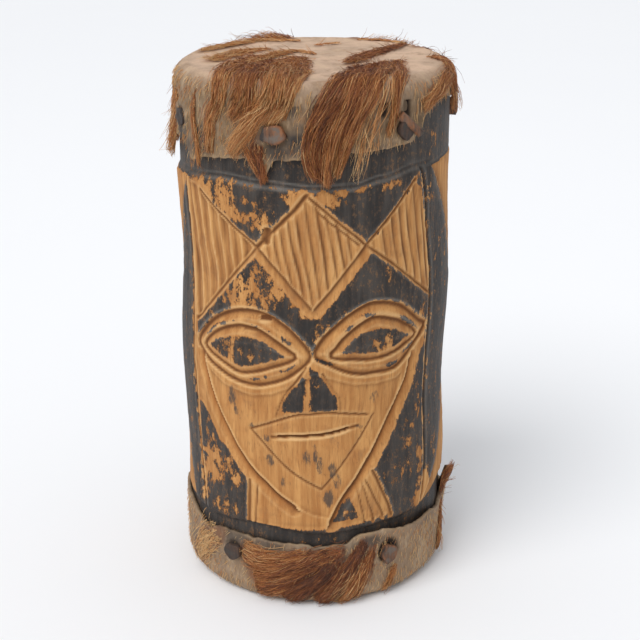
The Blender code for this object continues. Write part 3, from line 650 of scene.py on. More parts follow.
class NodeBench:
    """Places and joins the nodes of one material or group."""

    def __init__(self, tree: bpy.types.NodeTree) -> None:
        """Keep the tree that the nodes go into."""
        self.tree = tree

    def node(self, kind: str, **settings: object) -> bpy.types.Node:
        """Add a node and set its properties.

        Args:
            kind: Blender's name of the node type.
            **settings: Properties of the node and their values.

        Returns:
            The new node.
        """
        made = self.tree.nodes.new(kind)
        for name, value in settings.items():
            setattr(made, name, value)
        return made

    def feed(self, socket: bpy.types.NodeSocket, value: object) -> None:
        """Link a socket into an input, or set the input to a plain value.

        Args:
            socket: The input.
            value: A socket, a number or a colour.
        """
        if isinstance(value, bpy.types.NodeSocket):
            self.tree.links.new(value, socket)
        elif isinstance(value, tuple) and len(value) == 3 and socket.type == "RGBA":
            socket.default_value = (*value, 1.0)
        else:
            socket.default_value = value

    def attribute(self, name: str) -> bpy.types.NodeSocket:
        """Return the number that the mesh keeps under a name."""
        return self.node("ShaderNodeAttribute", attribute_name=name).outputs["Fac"]

    def math(self, operation: str, first: object, second: object = 0.0, third: object = 0.0,
             clamp: bool = False) -> bpy.types.NodeSocket:
        """Return the result of a sum.

        Args:
            operation: Blender's name of the sum.
            first: First value or socket.
            second: Second value or socket.
            third: Third value or socket, for sums that take three.
            clamp: Whether the result is held between 0 and 1.

        Returns:
            The result's socket.
        """
        made = self.node("ShaderNodeMath", operation=operation, use_clamp=clamp)
        for socket, value in zip(made.inputs, (first, second, third)):
            self.feed(socket, value)
        return made.outputs[0]

    def times(self, first: object, second: object, clamp: bool = False) -> bpy.types.NodeSocket:
        """Return one value times another, held between 0 and 1 where it is clamped."""
        return self.math("MULTIPLY", first, second, clamp=clamp)

    def mix(self, share: object, first: object, second: object) -> bpy.types.NodeSocket:
        """Return a mix of two colours.

        Args:
            share: How much of the second colour.
            first: First colour or socket.
            second: Second colour or socket.

        Returns:
            The mixed colour's socket.
        """
        made = self.node("ShaderNodeMix", data_type="RGBA", clamp_factor=True)
        for index, value in ((0, share), (6, first), (7, second)):
            self.feed(made.inputs[index], value)
        return made.outputs[2]

    def layered(self, ground: object, *layers: tuple[object, object]) -> bpy.types.NodeSocket:
        """Return a ground colour with others laid over it.

        Args:
            ground: The colour or socket under all the others.
            *layers: The share and the colour of each layer, from the lowest up.

        Returns:
            The colour's socket.
        """
        for share, colour in layers:
            ground = self.mix(share, ground, colour)
        return ground

    def step(self, value: object, low: float, high: float, out_low: float = 0.0,
             out_high: float = 1.0) -> bpy.types.NodeSocket:
        """Return a value stretched gently from one range to another and held inside it.

        Args:
            value: The value or socket.
            low: Where its own range starts.
            high: Where its own range ends.
            out_low: The result at the start.
            out_high: The result at the end.

        Returns:
            The result's socket.
        """
        made = self.node("ShaderNodeMapRange", interpolation_type="SMOOTHSTEP", clamp=True)
        for socket, item in zip(made.inputs, (value, low, high, out_low, out_high)):
            self.feed(socket, item)
        return made.outputs[0]

    def noise(self, place: object, scale: object, detail: float = 3.0,
              roughness: float = 0.55) -> bpy.types.NodeSocket:
        """Return smooth noise from 0 to 1.

        Args:
            place: Socket of the place.
            scale: How many blotches a metre has, as a number or a socket.
            detail: How many finer layers it has.
            roughness: How strong the finer layers are.

        Returns:
            The noise's socket.
        """
        made = self.node("ShaderNodeTexNoise")
        values = {"Vector": place, "Scale": scale, "Detail": detail, "Roughness": roughness}
        for label, value in values.items():
            self.feed(made.inputs[label], value)
        return made.outputs["Fac"]

    def upright(self, place: object, stretch: float) -> bpy.types.NodeSocket:
        """Scale a place's height, so that noise runs up the drum.

        Args:
            place: Socket of the place.
            stretch: What its height is multiplied by.

        Returns:
            The new place's socket.
        """
        made = self.node("ShaderNodeMapping", vector_type="POINT")
        self.feed(made.inputs["Vector"], place)
        made.inputs["Scale"].default_value = (1.0, 1.0, stretch)
        return made.outputs["Vector"]

    def bump(self, height: object, distance: float, strength: float = 1.0,
             normal: bpy.types.NodeSocket | None = None) -> bpy.types.NodeSocket:
        """Return a normal bent by a height.

        Args:
            height: Height from 0 to 1.
            distance: Real height of 1, in metres.
            strength: How strongly the normal bends.
            normal: A normal to bend further.

        Returns:
            The bent normal's socket.
        """
        made = self.node("ShaderNodeBump")
        made.inputs["Strength"].default_value = strength
        made.inputs["Distance"].default_value = distance
        self.feed(made.inputs["Height"], height)
        if normal is not None:
            self.feed(made.inputs["Normal"], normal)
        return made.outputs[0]


class Effects:
    """The node groups that several finishes share."""

    def __init__(self) -> None:
        """Build each group once."""
        self.grain = self._grain()
        self.mottle = self._mottle()

    @staticmethod
    def _group(name: str, inputs: dict[str, float], outputs: tuple[str, ...]) -> tuple:
        """Start a group that reads a place and some numbers.

        Args:
            name: The group's name.
            inputs: Names and defaults of its numbers.
            outputs: Names of what it puts out.

        Returns:
            The group, a bench for its nodes, the sockets that it is given and those that it fills.
        """
        group = bpy.data.node_groups.new(name, "ShaderNodeTree")
        group.interface.new_socket("Place", in_out="INPUT", socket_type="NodeSocketVector")
        for label, value in inputs.items():
            socket = group.interface.new_socket(label, in_out="INPUT", socket_type="NodeSocketFloat")
            socket.default_value = value
        for label in outputs:
            group.interface.new_socket(label, in_out="OUTPUT", socket_type="NodeSocketFloat")
        bench = NodeBench(group)
        return group, bench, bench.node("NodeGroupInput").outputs, bench.node("NodeGroupOutput").inputs

    def _grain(self) -> bpy.types.NodeTree:
        """Build wood grain that runs up the drum.

        Returns:
            The group, which puts out broad streaks and fine fibres.
        """
        group, bench, given, result = self._group(
            "upright grain", {"Coarse": 260.0, "Fine": 1100.0}, ("Streak", "Fibre"))
        shifted = bench.node("ShaderNodeVectorMath", operation="MULTIPLY_ADD")
        bench.feed(shifted.inputs[0], bench.noise(given["Place"], 22.0, 2.0))
        shifted.inputs[1].default_value = (0.006, 0.006, 0.0)
        bench.feed(shifted.inputs[2], bench.upright(given["Place"], 0.055))
        bench.feed(result["Streak"], bench.noise(shifted.outputs[0], given["Coarse"], 4.0, 0.62))
        bench.feed(result["Fibre"], bench.noise(shifted.outputs[0], given["Fine"], 2.0, 0.6))
        return group

    def _mottle(self) -> bpy.types.NodeTree:
        """Build blotches and specks of dirt.

        Returns:
            The group, which puts out both.
        """
        group, bench, given, result = self._group(
            "blotches", {"Size": 90.0, "Specks": 0.5}, ("Blotch", "Speck"))
        bench.feed(result["Blotch"], bench.noise(given["Place"], given["Size"], 5.0, 0.6))
        fine = bench.noise(given["Place"], bench.times(given["Size"], 9.0), 2.0, 0.6)
        edge = bench.math("SUBTRACT", 0.86, bench.times(given["Specks"], 0.3))
        bench.feed(result["Speck"], bench.times(bench.math("SUBTRACT", fine, edge), 9.0, clamp=True))
        return group


class Finishes:
    """The materials of the drum, each made from its own finish."""

    def __init__(self, effects: Effects) -> None:
        """Keep the shared groups."""
        self.effects = effects

    @staticmethod
    def _start(name: str, gloss: float) -> tuple:
        """Start a material.

        Args:
            name: Its name.
            gloss: How strongly it mirrors the light.

        Returns:
            The material, its bench, the inputs of its shader and its Object coordinates.
        """
        made = bpy.data.materials.new(name)
        made.use_nodes = True
        bench = NodeBench(made.node_tree)
        shader = made.node_tree.nodes["Principled BSDF"].inputs
        shader["Specular IOR Level"].default_value = gloss
        return made, bench, shader, bench.node("ShaderNodeTexCoord").outputs["Object"]

    @staticmethod
    def _shared(bench: NodeBench, group: bpy.types.NodeTree, place: object, **values: float) -> list:
        """Place a shared group in a material.

        Args:
            bench: The material's bench.
            group: The group.
            place: Socket of the place.
            **values: The group's numbers here.

        Returns:
            What the group puts out.
        """
        made = bench.node("ShaderNodeGroup", node_tree=group)
        bench.feed(made.inputs["Place"], place)
        for label, value in values.items():
            made.inputs[label].default_value = value
        return list(made.outputs)

    def carved_wood(self, finish: WoodPaint) -> bpy.types.Material:
        """Return worn black paint over carved wood.

        Args:
            finish: Its colours and roughness.

        Returns:
            The material.
        """
        made, bench, shader, place = self._start("carved_wood", 0.26)
        streak, fibre = self._shared(bench, self.effects.grain, place, Coarse=300.0, Fine=1500.0)
        blotch, speck = self._shared(bench, self.effects.mottle, place, Size=70.0, Specks=0.55)
        hollow, smudge = bench.attribute("hollow"), bench.attribute("smudge")
        crest, wear = bench.attribute("crest"), bench.attribute("wear")

        # Paint breaks off along the grain: the drawn edge, frayed by streaks and chips
        chips = bench.noise(bench.upright(place, 0.45), 480.0, 6.0, 0.74)
        flakes = bench.noise(bench.upright(place, 0.6), 260.0, 8.0, 0.78)
        fray = bench.times(bench.math("SUBTRACT", chips, 0.5), 5.0)
        fray = bench.math("ADD", fray, bench.times(bench.math("SUBTRACT", streak, 0.5), 1.5))
        rubbed = bench.math("ADD", wear, bench.math("MULTIPLY_ADD", flakes, 4.6, -2.3))
        rubbed = bench.math("ADD", rubbed, bench.times(crest, 0.35))
        rubbed = bench.times(bench.math("SUBTRACT", rubbed, 0.66), 3.0)
        rubbed = bench.math("ADD", rubbed, bench.times(fray, 0.22))
        worn_to = bench.math("MAXIMUM", bench.math("ADD", bench.attribute("bare"), fray), rubbed)
        shown = bench.step(worn_to, -0.12, 0.16)

        soiled = bench.times(bench.step(blotch, 0.50, 0.66), bench.step(flakes, 0.40, 0.62))
        smears = bench.noise(bench.upright(place, 0.32), 620.0, 6.0, 0.74)
        stained = bench.times(bench.step(bench.math("MULTIPLY_ADD", smears, 3.0, smudge), 1.80, 2.40),
                              bench.step(smudge, 0.02, 0.30))
        wood = bench.layered(
            finish.wood_light,
            (bench.step(streak, 0.28, 0.74), finish.wood_dark),
            (bench.step(fibre, 0.50, 0.80, 0.0, 0.5), finish.dirt),
            (bench.step(blotch, 0.42, 0.72, 0.0, 0.42), finish.orange),
            (bench.step(chips, 0.60, 0.76, 0.0, 0.6), finish.dirt),
            (bench.step(worn_to, 1.1, 0.0, 0.0, 0.5), finish.orange),
            # Deep cut slopes painted a darker orange: painted shade
            (bench.times(bench.attribute("slope"), 0.6), finish.orange),
            (bench.times(soiled, 0.42), finish.soil),
            (bench.step(flakes, 0.64, 0.74, 0.0, 0.75), finish.flecks),
            # Cuts painted darker: painted shade and some dirt
            (bench.times(hollow, 0.85, clamp=True), finish.groove_dirt_and_shade),
            # Ridges painted paler: a painted highlight, partly rubbed wood
            (bench.times(crest, 0.6), finish.rubbed),
            (bench.times(speck, 0.5), finish.dirt),
            (bench.times(stained, 0.85), finish.smudge))

        thinned = bench.times(bench.step(worn_to, -1.0, 0.05), bench.step(chips, 0.35, 0.62, 0.1, 0.75))
        grit = bench.noise(bench.upright(place, 0.6), 560.0, 7.0, 0.80)
        gritty = bench.times(bench.step(grit, 0.525, 0.600), bench.step(blotch, 0.38, 0.60, 0.15, 0.85))
        gritty = bench.times(gritty, bench.step(wear, -0.40, 0.05, 0.12, 0.80))
        broken = bench.step(flakes, 0.30, 0.60, 0.4, 1.0)
        paint = bench.layered(
            finish.paint,
            (bench.step(bench.math("ADD", streak, bench.times(blotch, 0.6)), 0.62, 1.05), finish.paint_worn),
            (thinned, finish.paint_thin),
            (gritty, finish.specks),
            # Ridges of the paint painted grey: a painted highlight, partly worn paint
            (bench.times(crest, 0.85), finish.edge),
            # The bevel above the panel painted grey: a painted highlight where it faces up, partly worn paint
            (bench.times(bench.attribute("ledge_wear_and_highlight"), broken), finish.edge),
            # Cuts of the paint painted darker: painted shade
            (bench.times(hollow, 0.7, clamp=True), finish.paint_shade))
        bench.feed(shader["Base Color"], bench.mix(shown, paint, wood))
        rough = bench.step(shown, 0.0, 1.0, finish.paint_roughness, finish.wood_roughness)
        bench.feed(shader["Roughness"], bench.math("MULTIPLY_ADD", blotch, 0.12, rough))

        ridges = bench.math("MULTIPLY_ADD", streak, 0.7, bench.times(fibre, 0.3))
        bent = bench.bump(ridges, 0.0005, 0.7)
        bent = bench.bump(bench.math("SUBTRACT", 1.0, shown), 0.00022, 0.9, bent)
        bench.feed(shader["Normal"], bench.bump(chips, 0.0006, 0.5, bent))
        return made

    def goat_hide(self, finish: Hide) -> bpy.types.Material:
        """Return dried hide: pale face, olive brown skirt partly in painted shade, darker under the hair.

        Args:
            finish: Its colours and roughness.

        Returns:
            The material.
        """
        made, bench, shader, place = self._start("goat_hide", 0.30)
        blotch, speck = self._shared(bench, self.effects.mottle, place, Size=55.0, Specks=0.62)
        pores = bench.noise(place, 1500.0, 2.0, 0.6)
        nap = bench.noise(bench.upright(place, 0.22), 900.0, 4.0, 0.7)
        cloud = bench.noise(bench.upright(place, 0.5), 130.0, 6.0, 0.66)
        down = bench.attribute("drop")

        hairy = bench.times(bench.step(nap, 0.50, 0.72), bench.math("MULTIPLY_ADD", down, 0.42, 0.12))
        furred = bench.times(bench.attribute("fur"), bench.step(nap, 0.15, 0.55, 0.65, 1.0), clamp=True)
        sooty = bench.times(bench.attribute("stain"), bench.step(cloud, 0.3, 0.6, 0.7, 1.0), clamp=True)
        colour = bench.layered(
            finish.face,
            # The skirt and the underside darker: partly the hide's own colour, partly painted shade
            (down, finish.skirt),
            (bench.step(blotch, 0.38, 0.64, 0.0, 0.45), finish.grey),
            (bench.step(cloud, 0.50, 0.70, 0.0, 0.45), finish.olive),
            (bench.step(cloud, 0.50, 0.34, 0.0, 0.40), finish.pale),
            (bench.step(blotch, 0.60, 0.74, 0.0, 0.35), finish.amber),
            (hairy, finish.stubble),
            (bench.times(bench.step(nap, 0.48, 0.30), 0.28), finish.pale),
            (bench.times(speck, 0.35), finish.speck),
            (furred, finish.fur),
            (sooty, finish.stain),
            (bench.attribute("hem"), finish.hem),
            # Slits painted nearly black: painted shade of the openings
            (bench.attribute("slit"), finish.slit))
        bench.feed(shader["Base Color"], colour)
        bench.feed(shader["Roughness"], bench.math("MULTIPLY_ADD", blotch, 0.2, finish.roughness - 0.1))
        rough_skin = bench.math("MULTIPLY_ADD", nap, 0.6, bench.times(pores, 0.4))
        bent = bench.bump(blotch, 0.0012, 0.5)
        bench.feed(shader["Normal"], bench.bump(rough_skin, 0.00045, 0.7, bent))
        return made

    def goat_hair(self, finish: Hair) -> bpy.types.Material:
        """Return hair whose tone is kept on each strand.

        Args:
            finish: Its colours and roughness.

        Returns:
            The material.
        """
        made, bench, shader, place = self._start("goat_hair", 0.5)
        ramp = bench.node("ShaderNodeValToRGB")
        stops = ((0.0, finish.deep), (0.36, finish.rust), (0.68, finish.ginger), (1.0, finish.straw))
        while len(ramp.color_ramp.elements) < len(stops):
            ramp.color_ramp.elements.new(0.5)
        for element, (spot, colour) in zip(ramp.color_ramp.elements, stops):
            element.position = spot
            element.color = (*colour, 1.0)
        bands = bench.noise(place, 240.0, 2.0)
        shift = bench.math("MULTIPLY_ADD", bands, 0.24, -0.12)
        bench.feed(ramp.inputs[0], bench.math("ADD", bench.attribute("tone"), shift, clamp=True))
        bench.feed(shader["Base Color"], ramp.outputs[0])
        bench.feed(shader["Roughness"], bench.math("MULTIPLY_ADD", bands, 0.2, finish.roughness - 0.1))
        return made

    def peg_wood(self, finish: PegFinish) -> bpy.types.Material:
        """Return whittled wood, grey on its worn end.

        Args:
            finish: Its colours and roughness.

        Returns:
            The material.
        """
        made, bench, shader, place = self._start("peg_wood", 0.4)
        streak, _ = self._shared(bench, self.effects.grain, place, Coarse=420.0, Fine=1700.0)
        blotch, speck = self._shared(bench, self.effects.mottle, place, Size=240.0, Specks=0.5)
        worn_end = bench.times(bench.attribute("end"), bench.step(blotch, 0.40, 0.60, 0.10, 0.95), clamp=True)
        bench.feed(shader["Base Color"], bench.layered(
            finish.rim,
            (bench.step(streak, 0.3, 0.7), finish.dark),
            (worn_end, finish.heart),
            (bench.times(speck, 0.5), finish.dark),
            (bench.attribute("soot"), finish.dark)))
        bench.feed(shader["Roughness"], bench.math("MULTIPLY_ADD", blotch, 0.2, finish.roughness - 0.1))
        bench.feed(shader["Normal"], bench.bump(streak, 0.0005, 0.8))
        return made

    def studio_floor(self, finish: FloorFinish) -> bpy.types.Material:
        """Return the plain white of the studio floor.

        Args:
            finish: Its colours and roughness.

        Returns:
            The material.
        """
        made, bench, shader, place = self._start("studio_floor", 0.1)
        bench.feed(shader["Base Color"], bench.mix(bench.noise(place, 3.0, 2.0), finish.dark, finish.light))
        shader["Roughness"].default_value = finish.roughness
        return made


def drawn_place(degrees: float) -> float:
    """Return the drawn column at an angle of the drum, from -180 to 180 degrees."""
    turned = (degrees + 180.0) % 360.0 - 180.0
    return math.radians(turned) * DRAWN_RADIUS + PANEL_MIDDLE


def on_circle(angle: np.ndarray, radius: np.ndarray, height: np.ndarray) -> np.ndarray:
    """Return points at angles round the drum's axis, from -Y towards +X, one row each."""
    return np.stack([radius * np.sin(angle), -radius * np.cos(angle), height], axis=-1)


def mesh_from(builder: bmesh.types.BMesh, name: str) -> bpy.types.Mesh:
    """Turn a built shape into a smooth mesh.

    Args:
        builder: The shape, which is freed.
        name: Name of the new mesh.

    Returns:
        The mesh.
    """
    for face in builder.faces:
        face.smooth = True
    mesh = bpy.data.meshes.new(name)
    builder.to_mesh(mesh)
    builder.free()
    return mesh


def placed(name: str, data: object) -> bpy.types.Object:
    """Put a new object in the scene, at the origin.

    Args:
        name: Its name.
        data: Its mesh, light or camera.

    Returns:
        The object.
    """
    made = bpy.data.objects.new(name, data)
    bpy.context.scene.collection.objects.link(made)
    return made


def cut_upright(builder: bmesh.types.BMesh, longer: float, cuts: int) -> None:
    """Cut the upright edges of a cone.

    Args:
        builder: The cone.
        longer: Edges that rise more than this are cut.
        cuts: How many cuts each gets.
    """
    upright = [edge for edge in builder.edges if abs(edge.verts[0].co.z - edge.verts[1].co.z) > longer]
    bmesh.ops.subdivide_edges(builder, edges=upright, cuts=cuts, use_grid_fill=True)


def keep(mesh: bpy.types.Mesh, label: str, values: np.ndarray) -> None:
    """Keep a number for every vertex of a mesh under a name that the materials read."""
    layer = mesh.attributes.new(label, "FLOAT", "POINT")
    layer.data.foreach_set("value", np.asarray(values, dtype=np.float32).ravel())


def vertex_places(mesh: bpy.types.Mesh) -> np.ndarray:
    """Read where the vertices of a mesh are.

    Args:
        mesh: The mesh.

    Returns:
        Their places, one row each.
    """
    flat = np.empty(len(mesh.vertices) * 3)
    mesh.vertices.foreach_get("co", flat)
    return flat.reshape(-1, 3)


def wrapped_grid(name: str, places: np.ndarray, marks: dict[str, np.ndarray]) -> bpy.types.Object:
    """Wrap a grid of faces round the drum and close its seam and its ends.

    Args:
        name: Name of the new object.
        places: Points in metres, shaped (columns + 1, rows + 1, 3).
        marks: Numbers that the material reads, by name, shaped (columns + 1, rows + 1).

    Returns:
        The object, welded shut with its faces outwards.
    """
    steps = np.array(places.shape[:2]) - 1
    builder = bmesh.new()
    bmesh.ops.create_grid(builder, x_segments=int(steps[0]), y_segments=int(steps[1]), size=0.5)
    mesh = mesh_from(builder, name)
    flat = vertex_places(mesh)[:, :2]
    column, row = np.rint((flat - flat.min(axis=0)) / np.ptp(flat, axis=0) * steps).astype(int).T
    mesh.vertices.foreach_set("co", places[column, row].ravel())
    for label, values in marks.items():
        keep(mesh, label, values[column, row])
    builder = bmesh.new()
    builder.from_mesh(mesh)
    bpy.data.meshes.remove(mesh)
    bmesh.ops.remove_doubles(builder, verts=builder.verts, dist=2e-6)
    bmesh.ops.dissolve_degenerate(builder, edges=builder.edges, dist=1e-7)
    bmesh.ops.recalc_face_normals(builder, faces=builder.faces)
    return placed(name, mesh_from(builder, name))


def dress(item: bpy.types.Object, surface: bpy.types.Material, slot: str, *nodes: str) -> bpy.types.Object:
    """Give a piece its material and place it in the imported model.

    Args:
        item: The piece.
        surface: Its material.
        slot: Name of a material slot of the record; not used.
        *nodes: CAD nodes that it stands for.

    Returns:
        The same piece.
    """
    item.data.materials.append(surface)
    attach(item, "root")
    if nodes:
        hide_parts(*nodes)
    log.info("%s: %d faces", item.name, len(item.data.polygons))
    return item


@dataclass
class CarvedTube:
    """The carved hollow tube with its painted collars, in millimetres."""

    radius: float = 65.0
    collar_radius: float = 63.6
    bore_radius: float = 53.0
    bottom: float = 1.7
    top: float = 252.3
    chamfer: float = 4.3
    ledge_rise: float = 3.5
    scrape: float = 0.65
    belly: float = 0.25
    sway: float = 0.75
    hewn_broad: float = 0.55
    hewn_fine: float = 0.26
    hewn_bare: float = 0.30
    collar_edges: Point = (38.5, 217.5)
    panel_span: Point = (39.2, 215.0)
    face_span: Point = (-78.0, 66.0)
    fine_step: float = 0.69
    side_step: float = 2.0
    row_step: float = 0.73
    collar_rows: int = 12
    bore_rows: int = 6

    def columns(self) -> np.ndarray:
        """Place the columns of the mesh, close together over the mask face.

        Returns:
            The drawn column of each.
        """
        start = PANEL_MIDDLE - HALF_TURN
        near, far = self.face_span
        spans = ((start, near, self.side_step), (near, far, self.fine_step),
                 (far, start + DRAWN_TURN, self.side_step))
        parts = [np.linspace(low, high, max(2, round((high - low) / step)), endpoint=False)
                 for low, high, step in spans]
        return np.concatenate(parts + [np.array([start + DRAWN_TURN])])

    def rows(self) -> tuple[np.ndarray, np.ndarray]:
        """Place the rows of the mesh, up the outside and down the bore.

        Returns:
            The height of each, and whether it lies in the bore.
        """
        low, high = self.panel_span
        middle = np.linspace(low, high, round((high - low) / self.row_step))
        foot = np.linspace(self.bottom + self.chamfer, self.collar_edges[0], self.collar_rows)
        head = np.linspace(self.collar_edges[1], self.top - self.chamfer, self.collar_rows)
        outside = np.concatenate([[self.bottom], foot, middle, head, [self.top]])
        bore = np.linspace(self.top, self.bottom, self.bore_rows)
        inner = [False] * len(outside) + [True] * len(bore) + [False]
        return np.concatenate([outside, bore, [self.bottom]]), np.array(inner)

    @staticmethod
    def side_arc(z: np.ndarray) -> np.ndarray:
        """Return how far right the black half-moon beside the front panel reaches."""
        return -38.0 + np.sqrt(np.maximum(130.4 ** 2 - (z - 129.0) ** 2, 0.0))

    @staticmethod
    def left_arc(z: np.ndarray) -> np.ndarray:
        """Return how far left the narrower half-moon reaches."""
        return 87.3 - np.sqrt(np.maximum(180.0 ** 2 - (z - 120.0) ** 2, 0.0))

    def scrape_sides(self, relief: Relief) -> None:
        """Scrape the bare wood between the half-moons at each side.

        Args:
            relief: The surface, which is changed.
        """
        u, z = relief.u, relief.z
        right = np.minimum(u - self.side_arc(z), (-10.0 - self.side_arc(z)) - (u - HALF_TURN))
        left = np.minimum(self.left_arc(z) - u, (u + HALF_TURN) - self.side_arc(z))
        within = np.where(u > PANEL_MIDDLE, right, left)
        relief.raise_to("depth", self.scrape * eased(within / 1.6 + 0.3))
        relief.raise_to("bare", within)
        # A painted dark line, shade and some dirt, at the step of the scraped wood
        relief.raise_to("hollow", bump(within, 0.2, 1.2) * 0.8)

    @staticmethod
    def carve_back(relief: Relief) -> None:
        """Carve the plainer panel at the back: the same frame and band, and one fluted lozenge.

        Args:
            relief: The whole surface, which is changed.
        """
        turned = (relief.u + HALF_TURN - PANEL_MIDDLE + HALF_TURN) % DRAWN_TURN - HALF_TURN + PANEL_MIDDLE
        back = Relief.blank(turned, relief.z)
        lozenge = ((39, 94), (-5, 136), (-49, 94), (-5, 52))
        fluted = ((28, 94), (-5, 125), (-38, 94), (-5, 63))
        steps = [*PANEL_BORDERS,
                 Field(lozenge, True, 0.3, 2.0),
                 Cut(lozenge, 2.4, 1.0, 1.4, 0.4, closed=True, straight=True),
                 Flutes(fluted, 94.0, tuple((PANEL_MIDDLE + step * 8.0, 0.3) for step in range(-4, 5)),
                        2.4, 4.0, 1.2, Section.ROUND)]
        for area, lines in ((LEFT_DIAMOND, (-64, -57, -50, -43, -36)),
                            (MIDDLE_DIAMOND, (-18, -10, -2, 6, 14)),
                            (RIGHT_DIAMOND, (34, 42, 50, 58))):
            steps += [Field(area, True, 0.2, 2.0),
                      Cut(area, 1.4, 1.4, 0.9, 0.2, closed=True, straight=True),
                      Flutes(area, 180.0, tuple((line, 0.9) for line in lines), 2.0, 4.4, 1.1, Section.ROUND)]
        steps += [Wear((-40, 60, 20, 14), 0.45), Wear((30, 150, 12, 16), 0.42),
                  Wear((-20, 198, 18, 7), 0.45), Wear((40, 60, 14, 12), 0.38)]
        for step in steps:
            step.carve(back)
        here = (np.abs(back.u - PANEL_MIDDLE) < 72.0) & (np.abs(relief.u - PANEL_MIDDLE) > 100.0)
        for label in ("depth", "bare", "hollow"):
            relief.raise_to(label, getattr(back, label)[here], here)
        relief.wear += np.where(here, back.wear, 0.0)

    def carve(self, u: np.ndarray, z: np.ndarray) -> Relief:
        """Carve both panels and the sides.

        Args:
            u: Drawn columns of every place.
            z: Drawn heights of every place.

        Returns:
            The finished relief.
        """
        sway_u = u + 0.5 * (value_noise(u / 14.0, z / 14.0, 3) - 0.5)
        sway_z = z + 0.5 * (value_noise(u / 12.0, z / 17.0, 5) - 0.5)
        relief = Relief.blank(sway_u.ravel(), sway_z.ravel())
        self.scrape_sides(relief)
        for step in (*FRONT_FIELDS, *PAINTED_LEFT, *FRONT_FLUTES, *PANEL_BORDERS, *FRONT_CUTS, *EYE_CUTS,
                     *GOUGES, *PAINT_CRUMBS, *FRONT_WEAR):
            step.carve(relief)
        self.carve_back(relief)
        for label in ("depth", "bare", "wear", "hollow"):
            setattr(relief, label, getattr(relief, label).reshape(u.shape))
        # The collars are sheltered by the hides
        relief.wear -= 0.5 * (eased((z - 209.0) / 3.0) + eased((39.0 - z) / 2.0))
        return relief

    @staticmethod
    def softened(values: np.ndarray, reach: int) -> np.ndarray:
        """Average every value of a grid with its neighbours.

        Args:
            values: The grid.
            reach: How many neighbours are taken on each side.

        Returns:
            The smoother grid.
        """
        span = 2 * reach + 1
        soft = values
        for axis in (0, 1):
            ends = [(reach, reach) if side == axis else (0, 0) for side in (0, 1)]
            total = np.insert(np.cumsum(np.pad(soft, ends, mode="edge"), axis=axis), 0, 0.0, axis=axis)
            count = values.shape[axis]
            low, high = (np.take(total, range(start, start + count), axis) for start in (0, span))
            soft = (high - low) / span
        return soft

    @staticmethod
    def smudged(u: np.ndarray, z: np.ndarray) -> np.ndarray:
        """Return how much old paint is rubbed into the wood at each place."""
        amounts = [share * eased(1.5 - oval_reach(u, z, oval)) for oval, share in SMUDGES]
        return np.max(amounts, axis=0)

    def build(self, surface: bpy.types.Material) -> bpy.types.Object:
        """Build the tube.

        Args:
            surface: The finish of its wood and paint.

        Returns:
            The finished piece.
        """
        heights, inner = self.rows()
        u, z = np.meshgrid(self.columns(), heights, indexing="ij")
        bore = np.broadcast_to(inner, u.shape)
        low, high = round_line(LOWER_LEDGE, u), round_line(UPPER_LEDGE, u)
        panel = np.clip((z - low + self.ledge_rise * 0.5) / (self.ledge_rise * 0.5), 0.0, 1.0)
        panel *= np.clip((high + self.ledge_rise - z) / self.ledge_rise, 0.0, 1.0)
        collar = 1.0 - panel
        relief = self.carve(u, z)

        belly = self.belly * np.cos(2.0 * np.pi * (z - 52.0) / 83.0)
        sway = self.sway * np.cos(2.0 * np.pi * (z - 60.0) / 97.0)
        hewn = self.hewn_broad * (layered_noise(u / 9.0, z / 26.0, 41) - 0.5)
        hewn += self.hewn_fine * (layered_noise(u / 2.2, z / 22.0, 47) - 0.5)
        hewn += self.hewn_bare * (layered_noise(u / 5.0, z / 4.5, 59) - 0.5) * (relief.bare > 0.5)
        cut = relief.depth * eased(panel * 1.6)
        ends = np.isclose(z, self.bottom) | np.isclose(z, self.top)
        shown = ~bore & ~ends
        radius = self.collar_radius + (self.radius + belly - self.collar_radius) * panel
        radius = np.where(shown, radius - cut + hewn * (0.35 + 0.65 * panel), radius)
        radius = np.where(ends & ~bore, self.collar_radius - self.chamfer, radius)
        radius = np.where(bore, self.bore_radius + 0.3 * (value_noise(u / 12.0, z / 30.0, 53) - 0.5), radius)
        places = on_circle((u - PANEL_MIDDLE) / DRAWN_RADIUS, radius * MM, z * MM)
        places[..., 0] += np.where(shown, sway * panel, 0.0) * MM
        places[-1] = places[0]

        bare = np.where(collar > 0.25, PAINTED, relief.bare)
        bare = np.where((z < low) & (panel > 0.0), np.minimum(bare, (z - low + 1.0) * 1.2), bare)
        wear = relief.wear * panel
        wear += 0.34 * bump(z, 208.0, 7.0) * bump(panel, 0.5, 0.6)
        wear += collar * (0.06 + 0.5 * bump(u, 64.0, 6.0) * bump(z, 224.0, 12.0))
        wear += panel * 0.16 * (1.0 - bump(u, PANEL_MIDDLE, 74.0))
        wear += 0.5 * bump(u, -70.0, 6.0) * bump(z, 212.0, 9.0)
        # Narrow cuts get painted shade and some dirt, and narrow ridges a painted highlight and lose their
        # paint
        sunk = cut - self.softened(cut, 2)
        hollow = np.clip(sunk * 2.0, 0.0, 1.0) + 0.5 * np.clip((cut - self.softened(cut, 5)) * 1.2, 0.0, 1.0)
